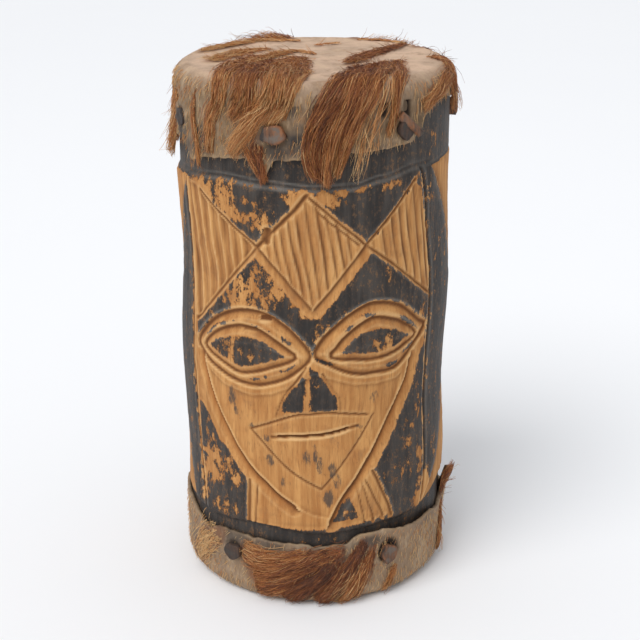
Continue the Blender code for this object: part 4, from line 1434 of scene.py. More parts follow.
        # Grey strip on the bevel above the panel: a painted highlight where it faces up, partly worn paint
        ledge_wear_and_highlight = np.maximum(bump(z, high + 1.9, 1.5), 0.7 * bump(z, high + 4.6, 0.9)) * bump(u, -8.0, 100.0)
        made = wrapped_grid("drum_body_carved", places, {
            "bare": np.where(bore, 3.0, bare),
            "wear": wear + np.where(bore, 2.0, 0.0),
            "hollow": np.clip((hollow + 0.35 * relief.hollow) * panel, 0.0, 1.0),
            "crest": np.clip(-sunk * 3.2 - 0.10, 0.0, 1.0) * panel,
            # How deep a cut slope is, for its painted shade
            "slope": np.clip((cut - 0.8) / 0.8, 0.0, 1.0) * panel,
            "ledge_wear_and_highlight": np.where(bore, 0.0, ledge_wear_and_highlight),
            "smudge": self.smudged(u, z)})
        return dress(made, surface, "carved_wood", "drum_body")


class End(Enum):
    """Which end of the drum a hide covers."""

    TOP = "top"
    BOTTOM = "bottom"


@dataclass(frozen=True)
class Tress:
    """A lock of hair along a line: spots of the flattened face, then (u, z) spots of the skirt."""

    face: Line
    skirt: Line
    widths: Point
    strands: int
    length: float
    lift: float
    tone: float
    flare: float = 0.0
    wild: float = 1.0


@dataclass(frozen=True)
class Coat:
    """The locks of one part of a hide, and the name of the piece that they make."""

    name: str
    tresses: tuple[Tress, ...]


@dataclass
class HideForm:
    """The smooth form of one hide: a flat face, a rounded rim and a skirt down the shell."""

    end: End
    outer: float = 65.3
    thickness: float = 1.4
    rim_width: float = 7.0
    rim_depth: float = 9.5
    shoulder: float = 4.3
    gap: float = 0.15
    clearance: float = 0.25

    @property
    def flat(self) -> float:
        """Return the radius where the rim starts to turn."""
        return self.outer - self.rim_width

    @property
    def bend(self) -> float:
        """Return the length of the turn along the hide."""
        return math.pi * 0.25 * (self.rim_width + self.rim_depth)

    def swapped(self, level: np.ndarray) -> np.ndarray:
        """Return the drop below the hide's face for a height of the drum, or the height for a drop."""
        return FULL_HEIGHT - level if self.end is End.TOP else level

    def hem(self, u: np.ndarray) -> np.ndarray:
        """Return how far the hem is below the face at each column, in millimetres."""
        return self.swapped(round_line(TOP_HEM if self.end is End.TOP else BOTTOM_HEM, u))

    def distance_at(self, drop: np.ndarray) -> np.ndarray:
        """Measure along the hide from its middle.

        Args:
            drop: Millimetres below its face.

        Returns:
            The distance to each drop.
        """
        turn = np.arccos(np.clip(1.0 - drop / self.rim_depth, -1.0, 1.0))
        over = self.flat + self.bend * turn / (math.pi / 2.0)
        return np.where(drop < self.rim_depth, over, self.flat + self.bend + drop - self.rim_depth)

    def hang(self, u: float, z: float) -> Point:
        """Find a spot of the skirt.

        Args:
            u: Drawn column.
            z: Height of the drum.

        Returns:
            The same spot of the flattened hide.
        """
        distance = float(self.distance_at(np.array(self.swapped(z))))
        angle = u / DRAWN_RADIUS
        return (distance * math.sin(angle), -distance * math.cos(angle))

    def trail(self, tress: Tress, step: float) -> np.ndarray:
        """Return the smooth line of a lock over the flattened hide, in steps of a length."""
        return smooth_path(tress.face + tuple(self.hang(u, z) for u, z in tress.skirt), step=step)

    def lean(self, u: np.ndarray, share: np.ndarray) -> np.ndarray:
        """Measure how far the skirt stands off the shell.

        Args:
            u: Drawn columns.
            share: Shares of the skirt's depth.

        Returns:
            Millimetres.
        """
        if self.end is End.TOP:
            lean = 1.0 * bump(u, -62.0, 14.0) + 0.8 * bump(u, 20.0, 30.0)
        else:
            lean = 3.0 * bump(u, 46.0, 40.0) + 4.0 * bump(u, 98.0, 9.0)
        return lean * share ** 2

    def lay(self, spots: np.ndarray, lift: np.ndarray) -> np.ndarray:
        """Bring spots of the flattened hide to their place on the drum.

        Args:
            spots: Flattened spots, one row each, in millimetres.
            lift: How far each stands off the hide.

        Returns:
            Points in metres.
        """
        distance = np.hypot(spots[..., 0], spots[..., 1])
        drawn_angle = np.arctan2(spots[..., 0], -spots[..., 1])
        turn = np.clip((distance - self.flat) / self.bend, 0.0, 1.0) * math.pi / 2.0
        past = np.maximum(distance - self.flat - self.bend, 0.0)
        radius = np.minimum(distance, self.flat) + self.rim_width * np.sin(turn)
        drop = self.rim_depth * (1.0 - np.cos(turn)) + past
        u = drawn_angle * DRAWN_RADIUS
        share = np.clip((drop - self.rim_depth) / (self.hem(u) - self.rim_depth), 0.0, 1.3)
        radius = radius + self.lean(u, share) + lift * np.sin(turn)
        height = self.swapped(drop - lift * np.cos(turn))
        if self.end is End.BOTTOM:
            height = np.maximum(height, self.clearance)
        return on_circle(drawn_angle - PANEL_MIDDLE / DRAWN_RADIUS, radius * MM, height * MM)


@dataclass
class GoatHair:
    """The hair on one hide, strand by strand."""

    form: HideForm
    rings: int = 5
    root_radius: float = 0.145
    tip_radius: float = 0.045
    clump_size: int = 12
    floor_gap: float = 0.2

    def strand(self) -> tuple[bpy.types.Mesh, np.ndarray, np.ndarray]:
        """Make one straight strand.

        Returns:
            Its mesh, and the share along it and the angle of every vertex.
        """
        builder = bmesh.new()
        bmesh.ops.create_cone(builder, cap_ends=False, segments=3, radius1=1.0, radius2=1.0, depth=1.0)
        cut_upright(builder, 0.5, self.rings - 2)
        along = np.array([vertex.co.z + 0.5 for vertex in builder.verts])
        angle = np.array([math.atan2(vertex.co.y, vertex.co.x) for vertex in builder.verts])
        return mesh_from(builder, "strand"), along, angle

    def grow(self, tress: Tress, random: np.random.Generator) -> tuple[np.ndarray, np.ndarray]:
        """Lay the strands of one lock.

        Args:
            tress: The lock.
            random: Seeded random numbers.

        Returns:
            The centre points of each strand, shaped (strands, rings, 3), and each strand's tone.
        """
        path = self.form.trail(tress, 3.0)
        travelled = np.concatenate([[0.0], np.cumsum(np.hypot(*np.diff(path, axis=0).T))])
        total = travelled[-1]
        count = tress.strands
        share = np.linspace(0.0, 1.0, self.rings)
        start = random.uniform(0.0, 1.0, count)
        length = tress.length * random.uniform(0.35, 1.15, count) * (0.40 + 0.60 * eased(start * 2.0))
        root = (start - 0.03) * np.maximum(total - 0.55 * length, 1.0)

        # Strands gather in clumps, each a little aside from the lock's own line
        clumps = max(4, count // self.clump_size)
        clump = random.integers(0, clumps, count)
        clump_side = random.uniform(-1.0, 1.0, clumps)[clump]
        clump_bend = random.normal(0.0, 1.0, clumps)[clump]
        side = clump_side * 0.62 + random.normal(0.0, 0.40, count)
        side *= 1.0 - 0.4 * (1.0 - eased(start * 3.0)) * random.uniform(0.0, 1.0, count)

        def along_path(distance: np.ndarray) -> np.ndarray:
            """Return the spots of the lock's line at distances along it."""
            held = np.clip(distance, 0.0, total)
            return np.stack([np.interp(held, travelled, path[:, axis]) for axis in (0, 1)], axis=-1)

        far = root[:, None] + share[None, :] * length[:, None]
        held = np.clip(far, 0.0, total)
        ahead = along_path(far + 1.5) - along_path(far - 1.5)
        ahead /= np.maximum(np.linalg.norm(ahead, axis=-1, keepdims=True), 1e-6)
        spot = along_path(far) + ahead * (far - held)[..., None]
        across = np.stack([-ahead[..., 1], ahead[..., 0]], axis=-1)
        width = np.interp(held / total, [0.0, 1.0], tress.widths) * 0.5
        gather = (side[:, None] * (1.0 - share ** 1.5 * 0.32)
                  + clump_side[:, None] * share ** 1.5 * 0.32)
        wave = tress.wild * share ** 1.6 * (clump_bend[:, None] * 1.1
                                           + random.normal(0.0, 0.8, count)[:, None])
        wave += 0.35 * tress.wild * np.sin(share * 5.0 + random.uniform(0.0, 6.3, count)[:, None])
        spot += across * (gather * width + wave)[..., None]

        height = tress.lift * (random.uniform(0.15, 1.0, count) * (0.35 + 0.65 * eased(start * 2.5)))[:, None]
        arch = (1.0 - tress.flare) * np.sin(np.pi * (share * 0.80 + 0.02)) + tress.flare * share ** 1.3
        stray = (random.uniform(0.0, 1.0, count) > 0.95)[:, None] * tress.wild * 3.0 * share ** 1.5
        lift = height * arch + stray + 0.15
        tone = tress.tone + random.normal(0.0, 0.12, clumps)[clump]
        tone = tone + random.normal(0.0, 0.15, count) + 0.16 * (start - 0.5)
        light = random.uniform(0.0, 1.0, count) > 0.92
        return self.form.lay(spot, lift), np.where(light, tone + 0.28, tone)

    def build(self, coat: Coat, seed: int, surface: bpy.types.Material) -> bpy.types.Object:
        """Build the strands of one coat.

        Args:
            coat: Its locks and name.
            seed: Seed of its random numbers.
            surface: The hair's material.

        Returns:
            The finished piece.
        """
        random = np.random.default_rng(seed)
        lines, tones = zip(*(self.grow(tress, random) for tress in coat.tresses))
        return self.weave(coat.name, np.concatenate(lines), np.concatenate(tones), random, surface)

    def weave(self, name: str, lines: np.ndarray, tones: np.ndarray, random: np.random.Generator,
              surface: bpy.types.Material) -> bpy.types.Object:
        """Build one piece from the centre lines of its strands.

        Args:
            name: Name of the piece.
            lines: Centre points of each strand, shaped (strands, rings, 3).
            tones: Tone of each strand.
            random: Seeded random numbers.
            surface: The hair's material.

        Returns:
            The finished piece.
        """
        template, along, angle = self.strand()
        builder = bmesh.new()
        for _ in lines:
            builder.from_mesh(template)
        bpy.data.meshes.remove(template)
        mesh = mesh_from(builder, name)
        ahead = np.gradient(lines, axis=1)
        ahead /= np.maximum(np.linalg.norm(ahead, axis=-1, keepdims=True), 1e-9)
        side = np.cross(ahead, np.array([0.31, 0.17, 0.93]))
        side /= np.maximum(np.linalg.norm(side, axis=-1, keepdims=True), 1e-9)
        out = np.cross(ahead, side)
        ring = np.rint(along * (self.rings - 1)).astype(int)
        thick = (self.root_radius + (self.tip_radius - self.root_radius) * along ** 1.2) * MM
        thick = thick[None, :] * random.uniform(0.75, 1.2, len(lines))[:, None]
        turned = angle[None, :] + random.uniform(0.0, 6.3, len(lines))[:, None]
        places = lines[:, ring] + thick[..., None] * (np.cos(turned)[..., None] * side[:, ring]
                                                      + np.sin(turned)[..., None] * out[:, ring])
        places[..., 2] = np.maximum(places[..., 2], self.floor_gap * MM)
        mesh.vertices.foreach_set("co", places.ravel())
        keep(mesh, "tone", tones[:, None] + 0.22 * (along[None, :] - 0.45))
        mesh.update()
        return dress(placed(name, mesh), surface, "goat_hide")


@dataclass
class HideSkin:
    """The skin of one hide, with its wrinkles, stains, ragged hem and the dents at its pegs."""

    form: HideForm
    node: str
    coats: tuple[Coat, ...]
    pegs: tuple[tuple, ...]
    peg_height: float
    stains: tuple[tuple[float, float, float, float, float], ...]
    slits: tuple[Oval, ...]
    wrinkles: Place = (0.9, 0.45, 0.22)
    ragged: Point = (1.5, 1.2)
    hair_lift: float = 0.4
    slit_depth: float = 1.25
    columns: int = 360
    face_rows: int = 30
    rim_rows: int = 15
    skirt_rows: int = 44

    def hair_cover(self, spots: np.ndarray) -> np.ndarray:
        """Measure how thickly hair covers the hide.

        Args:
            spots: Flattened spots, in millimetres.

        Returns:
            A cover from 0 to 1 for each.
        """
        cover = np.zeros(spots.shape[:-1])
        for tress in (tress for coat in self.coats for tress in coat.tresses):
            path = self.form.trail(tress, 6.0)
            away, _, along = nearest_on_path(spots[..., 0], spots[..., 1], path, False)
            total = float(np.hypot(*np.diff(path, axis=0).T).sum())
            width = np.interp(along / total, [0.0, 1.0], tress.widths) * 0.5
            thick = min(0.9, tress.strands / 450.0)
            cover = np.maximum(cover, thick * eased((width + 1.0 - away) / 4.5))
        return cover

    def build(self, surface: bpy.types.Material) -> bpy.types.Object:
        """Build the skin.

        Args:
            surface: The hide's material.

        Returns:
            The finished piece.
        """
        form = self.form
        top = form.end is End.TOP
        flat, bend = form.flat, form.bend
        u_line = np.linspace(PANEL_MIDDLE - HALF_TURN, PANEL_MIDDLE + HALF_TURN, self.columns + 1)
        ragged = self.ragged[0] * (layered_noise(u_line / 3.0, u_line * 0.0, 61) - 0.5)
        ragged += self.ragged[1] * (layered_noise(u_line / 9.0, u_line * 0.0 + 4.0, 67) - 0.5)
        ragged *= eased((HALF_TURN - np.abs(u_line - PANEL_MIDDLE)) / 12.0)
        depth = form.hem(u_line) - form.rim_depth + ragged
        face = flat * np.linspace(0.0, 1.0, self.face_rows, endpoint=False) ** 0.8
        rim = flat + bend * np.linspace(0.0, 1.0, self.rim_rows, endpoint=False)
        skirt = np.linspace(0.0, 1.0, self.skirt_rows + 1)
        fixed = np.broadcast_to(np.concatenate([face, rim]), (len(u_line), len(face) + len(rim)))
        distance = np.concatenate([fixed, flat + bend + depth[:, None] * skirt[None, :]], axis=1)
        share = np.concatenate([np.zeros(len(face) + len(rim)), skirt])[None, :] * np.ones((len(u_line), 1))
        u = np.broadcast_to(u_line[:, None], distance.shape)
        angle = u / DRAWN_RADIUS
        spots = np.stack([distance * np.sin(angle), -distance * np.cos(angle)], axis=-1)
        drop = np.where(distance > flat + bend, distance - flat - bend + form.rim_depth, 0.0)

        puckers, stain, slit = self.marks(u, drop)
        x, y = spots[..., 0], spots[..., 1]
        broad, upright, fine = self.wrinkles
        wrinkle = broad * (layered_noise(x / 13.0, y / 13.0, 71) - 0.5)
        wrinkle += (upright * (layered_noise(u / 3.4, distance / 15.0, 73) - 0.5)
                    * eased((distance - 45.0) / 20.0))
        wrinkle += fine * (layered_noise(x / 2.4, y / 2.4, 79) - 0.5)
        cover = self.hair_cover(spots)
        curl = 0.7 * share ** 6 * (layered_noise(u / 7.0, u * 0.0 + 9.0, 83))
        lift = wrinkle + puckers + self.hair_lift * cover - self.slit_depth * slit + curl
        if top:
            lift = np.where(distance <= flat, lift * eased(distance / 8.0 + 0.2) - 0.35, lift)
        else:
            lift = np.where(distance <= flat, 0.0, lift * eased((distance - flat) / 8.0))

        under = self.underside(u_line, depth)
        places = np.concatenate([form.lay(spots, lift), under], axis=1)
        places[-1] = places[0]
        hem = eased((share - 0.93) / 0.06) * eased((layered_noise(u / 5.0, u * 0.0 + 2.0, 89) - 0.42) * 5.0)
        # How far each place takes the skirt's darker colour, which is partly painted shade
        nap = eased((distance - 56.0) / 16.0) if top else np.full(distance.shape, 0.8)
        # Each mark, and the even amount of it that the underside has
        marks = {"fur": (cover * 0.9, 0.0), "stain": (stain, 0.3), "slit": (slit, 0.0),
                 "hem": (hem * 0.8 * (1.0 - stain), 0.0), "drop": (nap, 1.0)}
        made = wrapped_grid(f"{self.node}_skin", places, {
            label: np.concatenate([values, np.full(under.shape[:2], even)], axis=1)
            for label, (values, even) in marks.items()})
        return dress(made, surface, "goat_hide", self.node)

    def marks(self, u: np.ndarray, drop: np.ndarray) -> tuple[np.ndarray, np.ndarray, np.ndarray]:
        """Return the puckers at the pegs, the stains and the slits.

        Args:
            u: Drawn columns.
            drop: Millimetres below the hide's face, 0 on the face.

        Returns:
            Millimetres of pucker, and amounts of stain and slit.
        """
        puckers = np.zeros(u.shape)
        peg_drop = self.form.swapped(self.peg_height)
        for degrees, half_width, *_ in self.pegs:
            away = (u - drawn_place(degrees) + HALF_TURN) % DRAWN_TURN - HALF_TURN
            reach = np.hypot(away, drop - peg_drop)
            spoke = np.cos(7.0 * np.arctan2(drop - peg_drop, away))
            puckers += 0.9 * bump(reach, half_width + 1.2, 3.2)
            puckers += 0.35 * spoke * bump(reach, half_width + 5.0, 7.0)
        stain = np.zeros(u.shape)
        fray = 0.7 * (layered_noise(u / 3.0, drop / 3.0, 97) - 0.5)
        for middle, z, half_width, half_height, amount in self.stains:
            reach = oval_reach(u, drop, (middle, self.form.swapped(z), half_width, half_height))
            stain = np.maximum(stain, amount * eased(1.5 - (reach + fray)))
        slit = np.zeros(u.shape)
        for middle, z, half_width, half_height in self.slits:
            reach = oval_reach(u, drop, (middle, self.form.swapped(z), half_width, half_height))
            slit = np.maximum(slit, eased((1.15 - reach) * 2.4))
        return puckers, stain, slit

    def underside(self, u_line: np.ndarray, depth: np.ndarray) -> np.ndarray:
        """Lay the rows of the hide's inner side, from the hem back to the middle of the face.

        Args:
            u_line: Drawn columns.
            depth: Depth of the skirt below the rim at each column.

        Returns:
            Points shaped (columns, rows, 3), in metres.
        """
        form = self.form
        inner = form.outer - form.thickness
        shoulder = form.shoulder + form.thickness + form.gap
        rows = []
        for share in (1.0, 0.8, 0.5, 0.2):
            radius = inner + form.lean(u_line, np.full(u_line.shape, share))
            rows.append((radius, form.rim_depth + depth * share - (form.clearance if share == 1.0 else 0.0)))
        for radius, drop in ((inner, shoulder), (inner - shoulder + form.thickness, form.thickness),
                             (0.0, form.thickness)):
            rows.append((np.full(u_line.shape, radius), np.full(u_line.shape, drop)))
        angle = (u_line - PANEL_MIDDLE) / DRAWN_RADIUS
        return np.stack([on_circle(angle, radius * MM, form.swapped(drop) * MM)
                         for radius, drop in rows], axis=1)


LEFT_COAT = Coat("top_hair_left", (
    Tress(((-13, 54), (-28, 61), (-44, 57)), (), (11, 9), 520, 17, 6.0, 0.50, wild=1.5),
    Tress(((-26, 60), (-36, 59), (-44, 55)), (), (7, 7), 180, 15, 9.0, 0.45, flare=0.7, wild=2.0),
    Tress(((-40, 57), (-52, 48), (-60, 34)), (), (6, 4), 160, 15, 3.0, 0.60),
    Tress(((-8, 47), (-26, 47), (-42, 32), (-54, 16)), (), (6, 7), 300, 14, 1.6, 0.78),
    Tress(((-22, 24), (-34, 12), (-47, -10)), (), (8, 10), 320, 13, 1.5, 0.74),
    Tress(((-26, 2), (-36, -24)), ((-44, 248), (-49, 236), (-50, 221)), (11, 6), 950, 22, 2.4, 0.54),
    Tress(((-20, -8), (-28, -36)), ((-32, 249), (-37, 238)), (14, 8), 800, 20, 2.4, 0.42),
))
MASS_COAT = Coat("top_hair_front_left", (
    Tress(((0, 8), (-9, 15), (-20, 0), (-30, -20)), (), (4, 9), 380, 13, 1.7, 0.66),
    Tress(((-8, -2), (-15, -28)), ((-18, 251), (-26, 238), (-38, 222)), (14, 6), 1500, 25, 2.8, 0.60,
          wild=1.3),
    Tress(((-5, -10), (-8, -40)), ((-12, 248), (-17, 239), (-20, 235)), (11, 5), 900, 22, 2.4, 0.50),
    Tress(((-2, -34), (-5, -54)), ((-10, 248), (-13, 239)), (4, 3), 200, 16, 1.6, 0.70),
    Tress((), ((-27, 229), (-25, 220), (-21.5, 211)), (12, 3), 330, 12, 1.4, 0.20),
    Tress((), ((-33, 226), (-28, 220), (-24, 214)), (5, 3), 70, 13, 1.4, 0.50),
    Tress((), ((-61, 247), (-62, 234), (-57, 213)), (3.0, 1.6), 130, 20, 1.4, 0.50),
    Tress((), ((-82, 240), (-89, 228), (-95, 212)), (12, 9), 300, 24, 5.0, 0.66, flare=0.9, wild=1.4),
    Tress((), ((-100, 246), (-106, 232), (-112, 214)), (14, 10), 330, 22, 3.0, 0.50, flare=0.4),
    Tress(((-20, -22), (-24, -44)), ((-28, 247), (-31, 236)), (6, 6), 300, 20, 2.2, 0.36),
))
RIGHT_COAT = Coat("top_hair_front_right", (
    Tress(((45, 38), (33, 16), (21, -6), (16, -18)), (), (6, 8), 560, 13, 1.6, 0.34),
    Tress(((22, -24), (16, -50)), ((10, 250), (1, 236), (-2, 222), (1, 214)), (10, 7), 1250, 26, 2.8, 0.26),
    Tress(((28, -20), (22, -50)), ((17, 249), (9, 234), (5, 216), (5, 210)), (11, 4.5), 1250, 28, 3.0, 0.42,
          wild=1.4),
    Tress((), ((14, 247), (5, 237), (1, 224), (3, 213)), (13, 7), 700, 24, 1.6, 0.16),
))
STREAM_COAT = Coat("top_hair_right", (
    Tress(((33, -14), (29, -46)), ((25, 249), (17, 236), (9, 214)), (9, 4), 900, 26, 2.6, 0.46),
    Tress(((38, -8), (38, -44)), ((37.5, 249), (36, 240), (33, 230)), (8, 2.6), 480, 20, 1.8, 0.48),
    Tress(((30, -26), (31, -54)), ((29, 246), (20, 228), (16, 212)), (7, 6), 60, 30, 4.0, 0.80, wild=1.8),
    Tress(((55, 2), (63, -16)), ((75, 249), (66, 246), (53, 240)), (5, 6), 600, 20, 2.2, 0.52),
    Tress(((60, 4),), ((86, 250), (84, 242), (81, 233)), (4, 3), 180, 14, 2.2, 0.30, wild=1.6),
    Tress(((24, 55), (38, 50), (52, 38)), (), (4, 4), 150, 7, 3.4, 0.50, flare=0.9, wild=1.6),
    Tress(((22, 51), (32, 50), (46, 41)), (), (5, 5), 200, 8, 0.7, 0.74),
    Tress(((0, 34), (6, 37), (12, 40)), (), (2, 2), 50, 7, 0.6, 0.62),
    Tress(((70, -20),), ((84, 246), (83, 238)), (5, 4), 40, 24, 5.0, 0.6, flare=1.0, wild=3.0),
))
BACK_COAT = Coat("top_hair_back", (
    Tress((), ((178, 253), (172, 244), (164, 234), (158, 224)), (16, 8), 620, 24, 2.6, 0.40),
    Tress((), ((138, 253), (132, 244), (124, 232)), (14, 7), 520, 22, 2.4, 0.50),
    Tress((), ((-162, 253), (-156, 244), (-150, 234), (-146, 222)), (16, 8), 620, 24, 2.8, 0.44),
    Tress((), ((-128, 250), (-126, 236), (-120, 222)), (12, 8), 420, 22, 2.4, 0.34),
    Tress((), ((106, 250), (101, 240), (98, 230)), (8, 6), 240, 16, 2.0, 0.52),
    Tress((), ((202, 250), (196, 240), (192, 230)), (12, 8), 340, 20, 2.2, 0.56),
))
FOOT_COAT = Coat("bottom_hair_front", (
    Tress((), ((14, 30), (2, 27), (-14, 20), (-30, 15)), (7, 13), 1050, 22, 1.8, 0.30),
    Tress((), ((0, 29), (-12, 25), (-26, 23), (-36, 26)), (7, 11), 800, 18, 1.6, 0.48),
    Tress((), ((-52, 31), (-62, 22), (-72, 10)), (18, 18), 380, 11, 1.2, 0.98),
    Tress((), ((-4, 20), (-16, 11), (-28, 7)), (9, 8), 560, 18, 1.4, 0.30),
    Tress((), ((24, 33), (18, 22), (9, 10), (2, 3)), (8, 9), 950, 22, 2.0, 0.12),
    Tress((), ((29, 30), (24, 18), (18, 8), (13, 2.5)), (6, 8), 640, 20, 2.0, 0.40),
    Tress((), ((24, 26), (16, 12), (8, 4)), (12, 10), 160, 18, 2.4, 0.80),
    Tress((), ((42, 16), (39, 10), (36, 3)), (4, 3), 170, 12, 1.2, 0.56),
    Tress((), ((13, 27), (3, 17), (-7, 9), (-14, 4)), (7, 9), 760, 19, 1.6, 0.13),
))
FOOT_BACK_COAT = Coat("bottom_hair_back", (
    Tress((), ((88, 34), (92, 42), (97, 46)), (8, 4), 240, 11, 2.2, 0.34, wild=1.6),
    Tress((), ((90, 30), (88, 18), (84, 6)), (8, 7), 240, 18, 1.6, 0.50),
    Tress((), ((150, 28), (140, 16), (130, 6)), (16, 14), 600, 20, 1.8, 0.46),
    Tress((), ((-150, 30), (-160, 18), (-170, 6)), (16, 14), 600, 20, 1.8, 0.40),
    Tress((), ((190, 30), (184, 16), (176, 5)), (12, 12), 440, 20, 1.8, 0.56),
))


@dataclass
class Stubble:
    """Short hairs scattered over the skirts, so that the skin looks furred."""

    form: HideForm
    name: str
    strands: int
    span: Point
    tone: float
    # Left out round the two slits of the top hide, as column, drop and half sizes
    bald: Oval = (37.5, 12.5, 10.0, 8.0)

    def build(self, surface: bpy.types.Material, seed: int) -> bpy.types.Object:
        """Build the short hairs as many small locks.

        Args:
            surface: The hair's material.
            seed: Seed of its random numbers.

        Returns:
            The finished piece.
        """
        top = self.form.end is End.TOP
        random = np.random.default_rng(seed)
        u = random.uniform(-HALF_TURN, HALF_TURN, self.strands)
        drop = random.uniform(*self.span, self.strands)
        grown = drop < self.form.hem(u) - 0.5
        if top:
            middle, level, half_width, half_height = self.bald
            grown &= (np.abs(u - middle) > half_width) | (np.abs(drop - level) > half_height)
        u, drop = u[grown], drop[grown]
        share = np.linspace(0.0, 1.0, 3)
        fall = random.uniform(1.8, 4.6, len(u)) * (1.0 if top else -0.7)
        distance = self.form.distance_at(drop)[:, None] + fall[:, None] * share
        sideways = (random.normal(-0.6, 0.8, len(u))[:, None] * share) / DRAWN_RADIUS
        turned = (u / DRAWN_RADIUS)[:, None] + sideways
        spots = np.stack([distance * np.sin(turned), -distance * np.cos(turned)], axis=-1)
        lift = 0.1 + random.uniform(0.2, 1.1, len(u))[:, None] * share ** 0.7
        patch = layered_noise(u / 14.0, drop / 9.0, seed)
        tones = self.tone + 0.5 * (patch - 0.5) + random.normal(0.0, 0.14, len(u))
        grower = GoatHair(self.form, rings=3, root_radius=0.12)
        return grower.weave(self.name, self.form.lay(spots, lift), tones, random, surface)


class PegShape(Enum):
    """How a peg's end is left."""

    NUB = "nub"
    CHARRED = "charred"


@dataclass
class Peg:
    """One whittled peg through a hide, in millimetres."""

    node: str
    degrees: float
    half_width: float
    half_height: float
    height: float
    head: float
    shape: PegShape = PegShape.NUB
    tip: float = 54.6
    sides: int = 22
    dent: float = 0.9
    charred_soot: float = 0.8

    def build(self, surface: bpy.types.Material, seed: int) -> bpy.types.Object:
        """Build the peg with a worn, rounded end.

        Args:
            surface: The peg's material.
            seed: Seed of its dents.

        Returns:
            The finished piece.
        """
        builder = bmesh.new()
        length = self.head - self.tip
        bmesh.ops.create_cone(builder, cap_ends=True, segments=self.sides, radius1=0.78, radius2=1.0,
                              depth=length)
        end = max(builder.faces, key=lambda face: face.calc_center_median().z)
        bmesh.ops.bevel(builder, geom=list(end.edges), offset=0.28, segments=3, profile=0.5, affect="EDGES",
                        material=-1)
        end = max(builder.faces, key=lambda face: face.calc_center_median().z)
        bmesh.ops.inset_individual(builder, faces=[end], thickness=0.3)
        bmesh.ops.poke(builder, faces=[end])
        cut_upright(builder, length * 0.5, 7)
        bmesh.ops.recalc_face_normals(builder, faces=builder.faces)
        mesh = mesh_from(builder, f"{self.node}_whittled")

        x, y, z = vertex_places(mesh).T
        turn = np.arctan2(y, x)
        facets = 1.0 + 0.07 * np.cos(5.0 * turn + seed) + 0.05 * np.cos(3.0 * turn + seed * 2.0)
        facets += 0.08 * (value_noise(turn * 1.6 + 9.0, z / 2.5 + seed, seed) - 0.5)
        out = z + length / 2.0 + self.tip
        near_end = eased((out - self.head + 1.5) / 1.5)
        dents = self.dent * (value_noise(x * 3.0 + seed, y * 3.0, seed + 3) - 0.5)
        out = out + dents * near_end
        sideways = x * facets * self.half_width
        angle = math.radians(self.degrees)
        places = np.stack([out * math.sin(angle) + sideways * math.cos(angle),
                           -out * math.cos(angle) + sideways * math.sin(angle),
                           self.height + y * facets * self.half_height], axis=-1) * MM
        mesh.vertices.foreach_set("co", places.ravel())
        keep(mesh, "end", near_end * eased((0.95 - np.hypot(x, y)) * 4.0))
        soot = self.charred_soot if self.shape is PegShape.CHARRED else 0.0
        keep(mesh, "soot", np.full(len(x), soot))
        mesh.update()
        return dress(placed(mesh.name, mesh), surface, "peg_wood", self.node)


@dataclass
class Twig:
    """The split stick that lies over the right-hand peg, its ends as (u, z, radius) in millimetres."""

    start: Place = (38.2, 238.6, 67.2)
    end: Place = (47.6, 229.6, 69.6)
    radius: float = 2.1

    def build(self, surface: bpy.types.Material) -> bpy.types.Object:
        """Build the stick.

        Args:
            surface: The peg's material.

        Returns:
            The finished piece.
        """
        builder = bmesh.new()
        bmesh.ops.create_cone(builder, cap_ends=True, segments=14, radius1=1.0, radius2=0.85, depth=1.0)
        cut_upright(builder, 0.5, 10)
        caps = [face for face in builder.faces if len(face.verts) > 4]
        bmesh.ops.bevel(builder, geom=[edge for face in caps for edge in face.edges], offset=0.03, segments=2,
                        profile=0.5, affect="EDGES", material=-1)
        mesh = mesh_from(builder, "top_peg_twig")
        x, y, z = vertex_places(mesh).T
        first, last = (on_circle(np.array((u - PANEL_MIDDLE) / DRAWN_RADIUS), np.array(radius),
                                 np.array(height))
                       for u, height, radius in (self.start, self.end))
        run = (last - first) / np.linalg.norm(last - first)
        side = np.cross(run, np.array([0.0, 0.0, 1.0]))
        side /= np.linalg.norm(side)
        out = np.cross(run, side)
        share = z + 0.5
        size = self.radius * (1.0 + 0.22 * (value_noise(np.arctan2(y, x) * 1.4 + 5.0, share * 7.0, 5) - 0.5))
        places = first + (last - first) * share[:, None]
        places = places + (x * size)[:, None] * side + (y * size)[:, None] * out
        mesh.vertices.foreach_set("co", (places * MM).ravel())
        keep(mesh, "end", np.full(len(x), 0.45))
        keep(mesh, "soot", np.zeros(len(x)))
        mesh.update()
        return dress(placed(mesh.name, mesh), surface, "peg_wood")


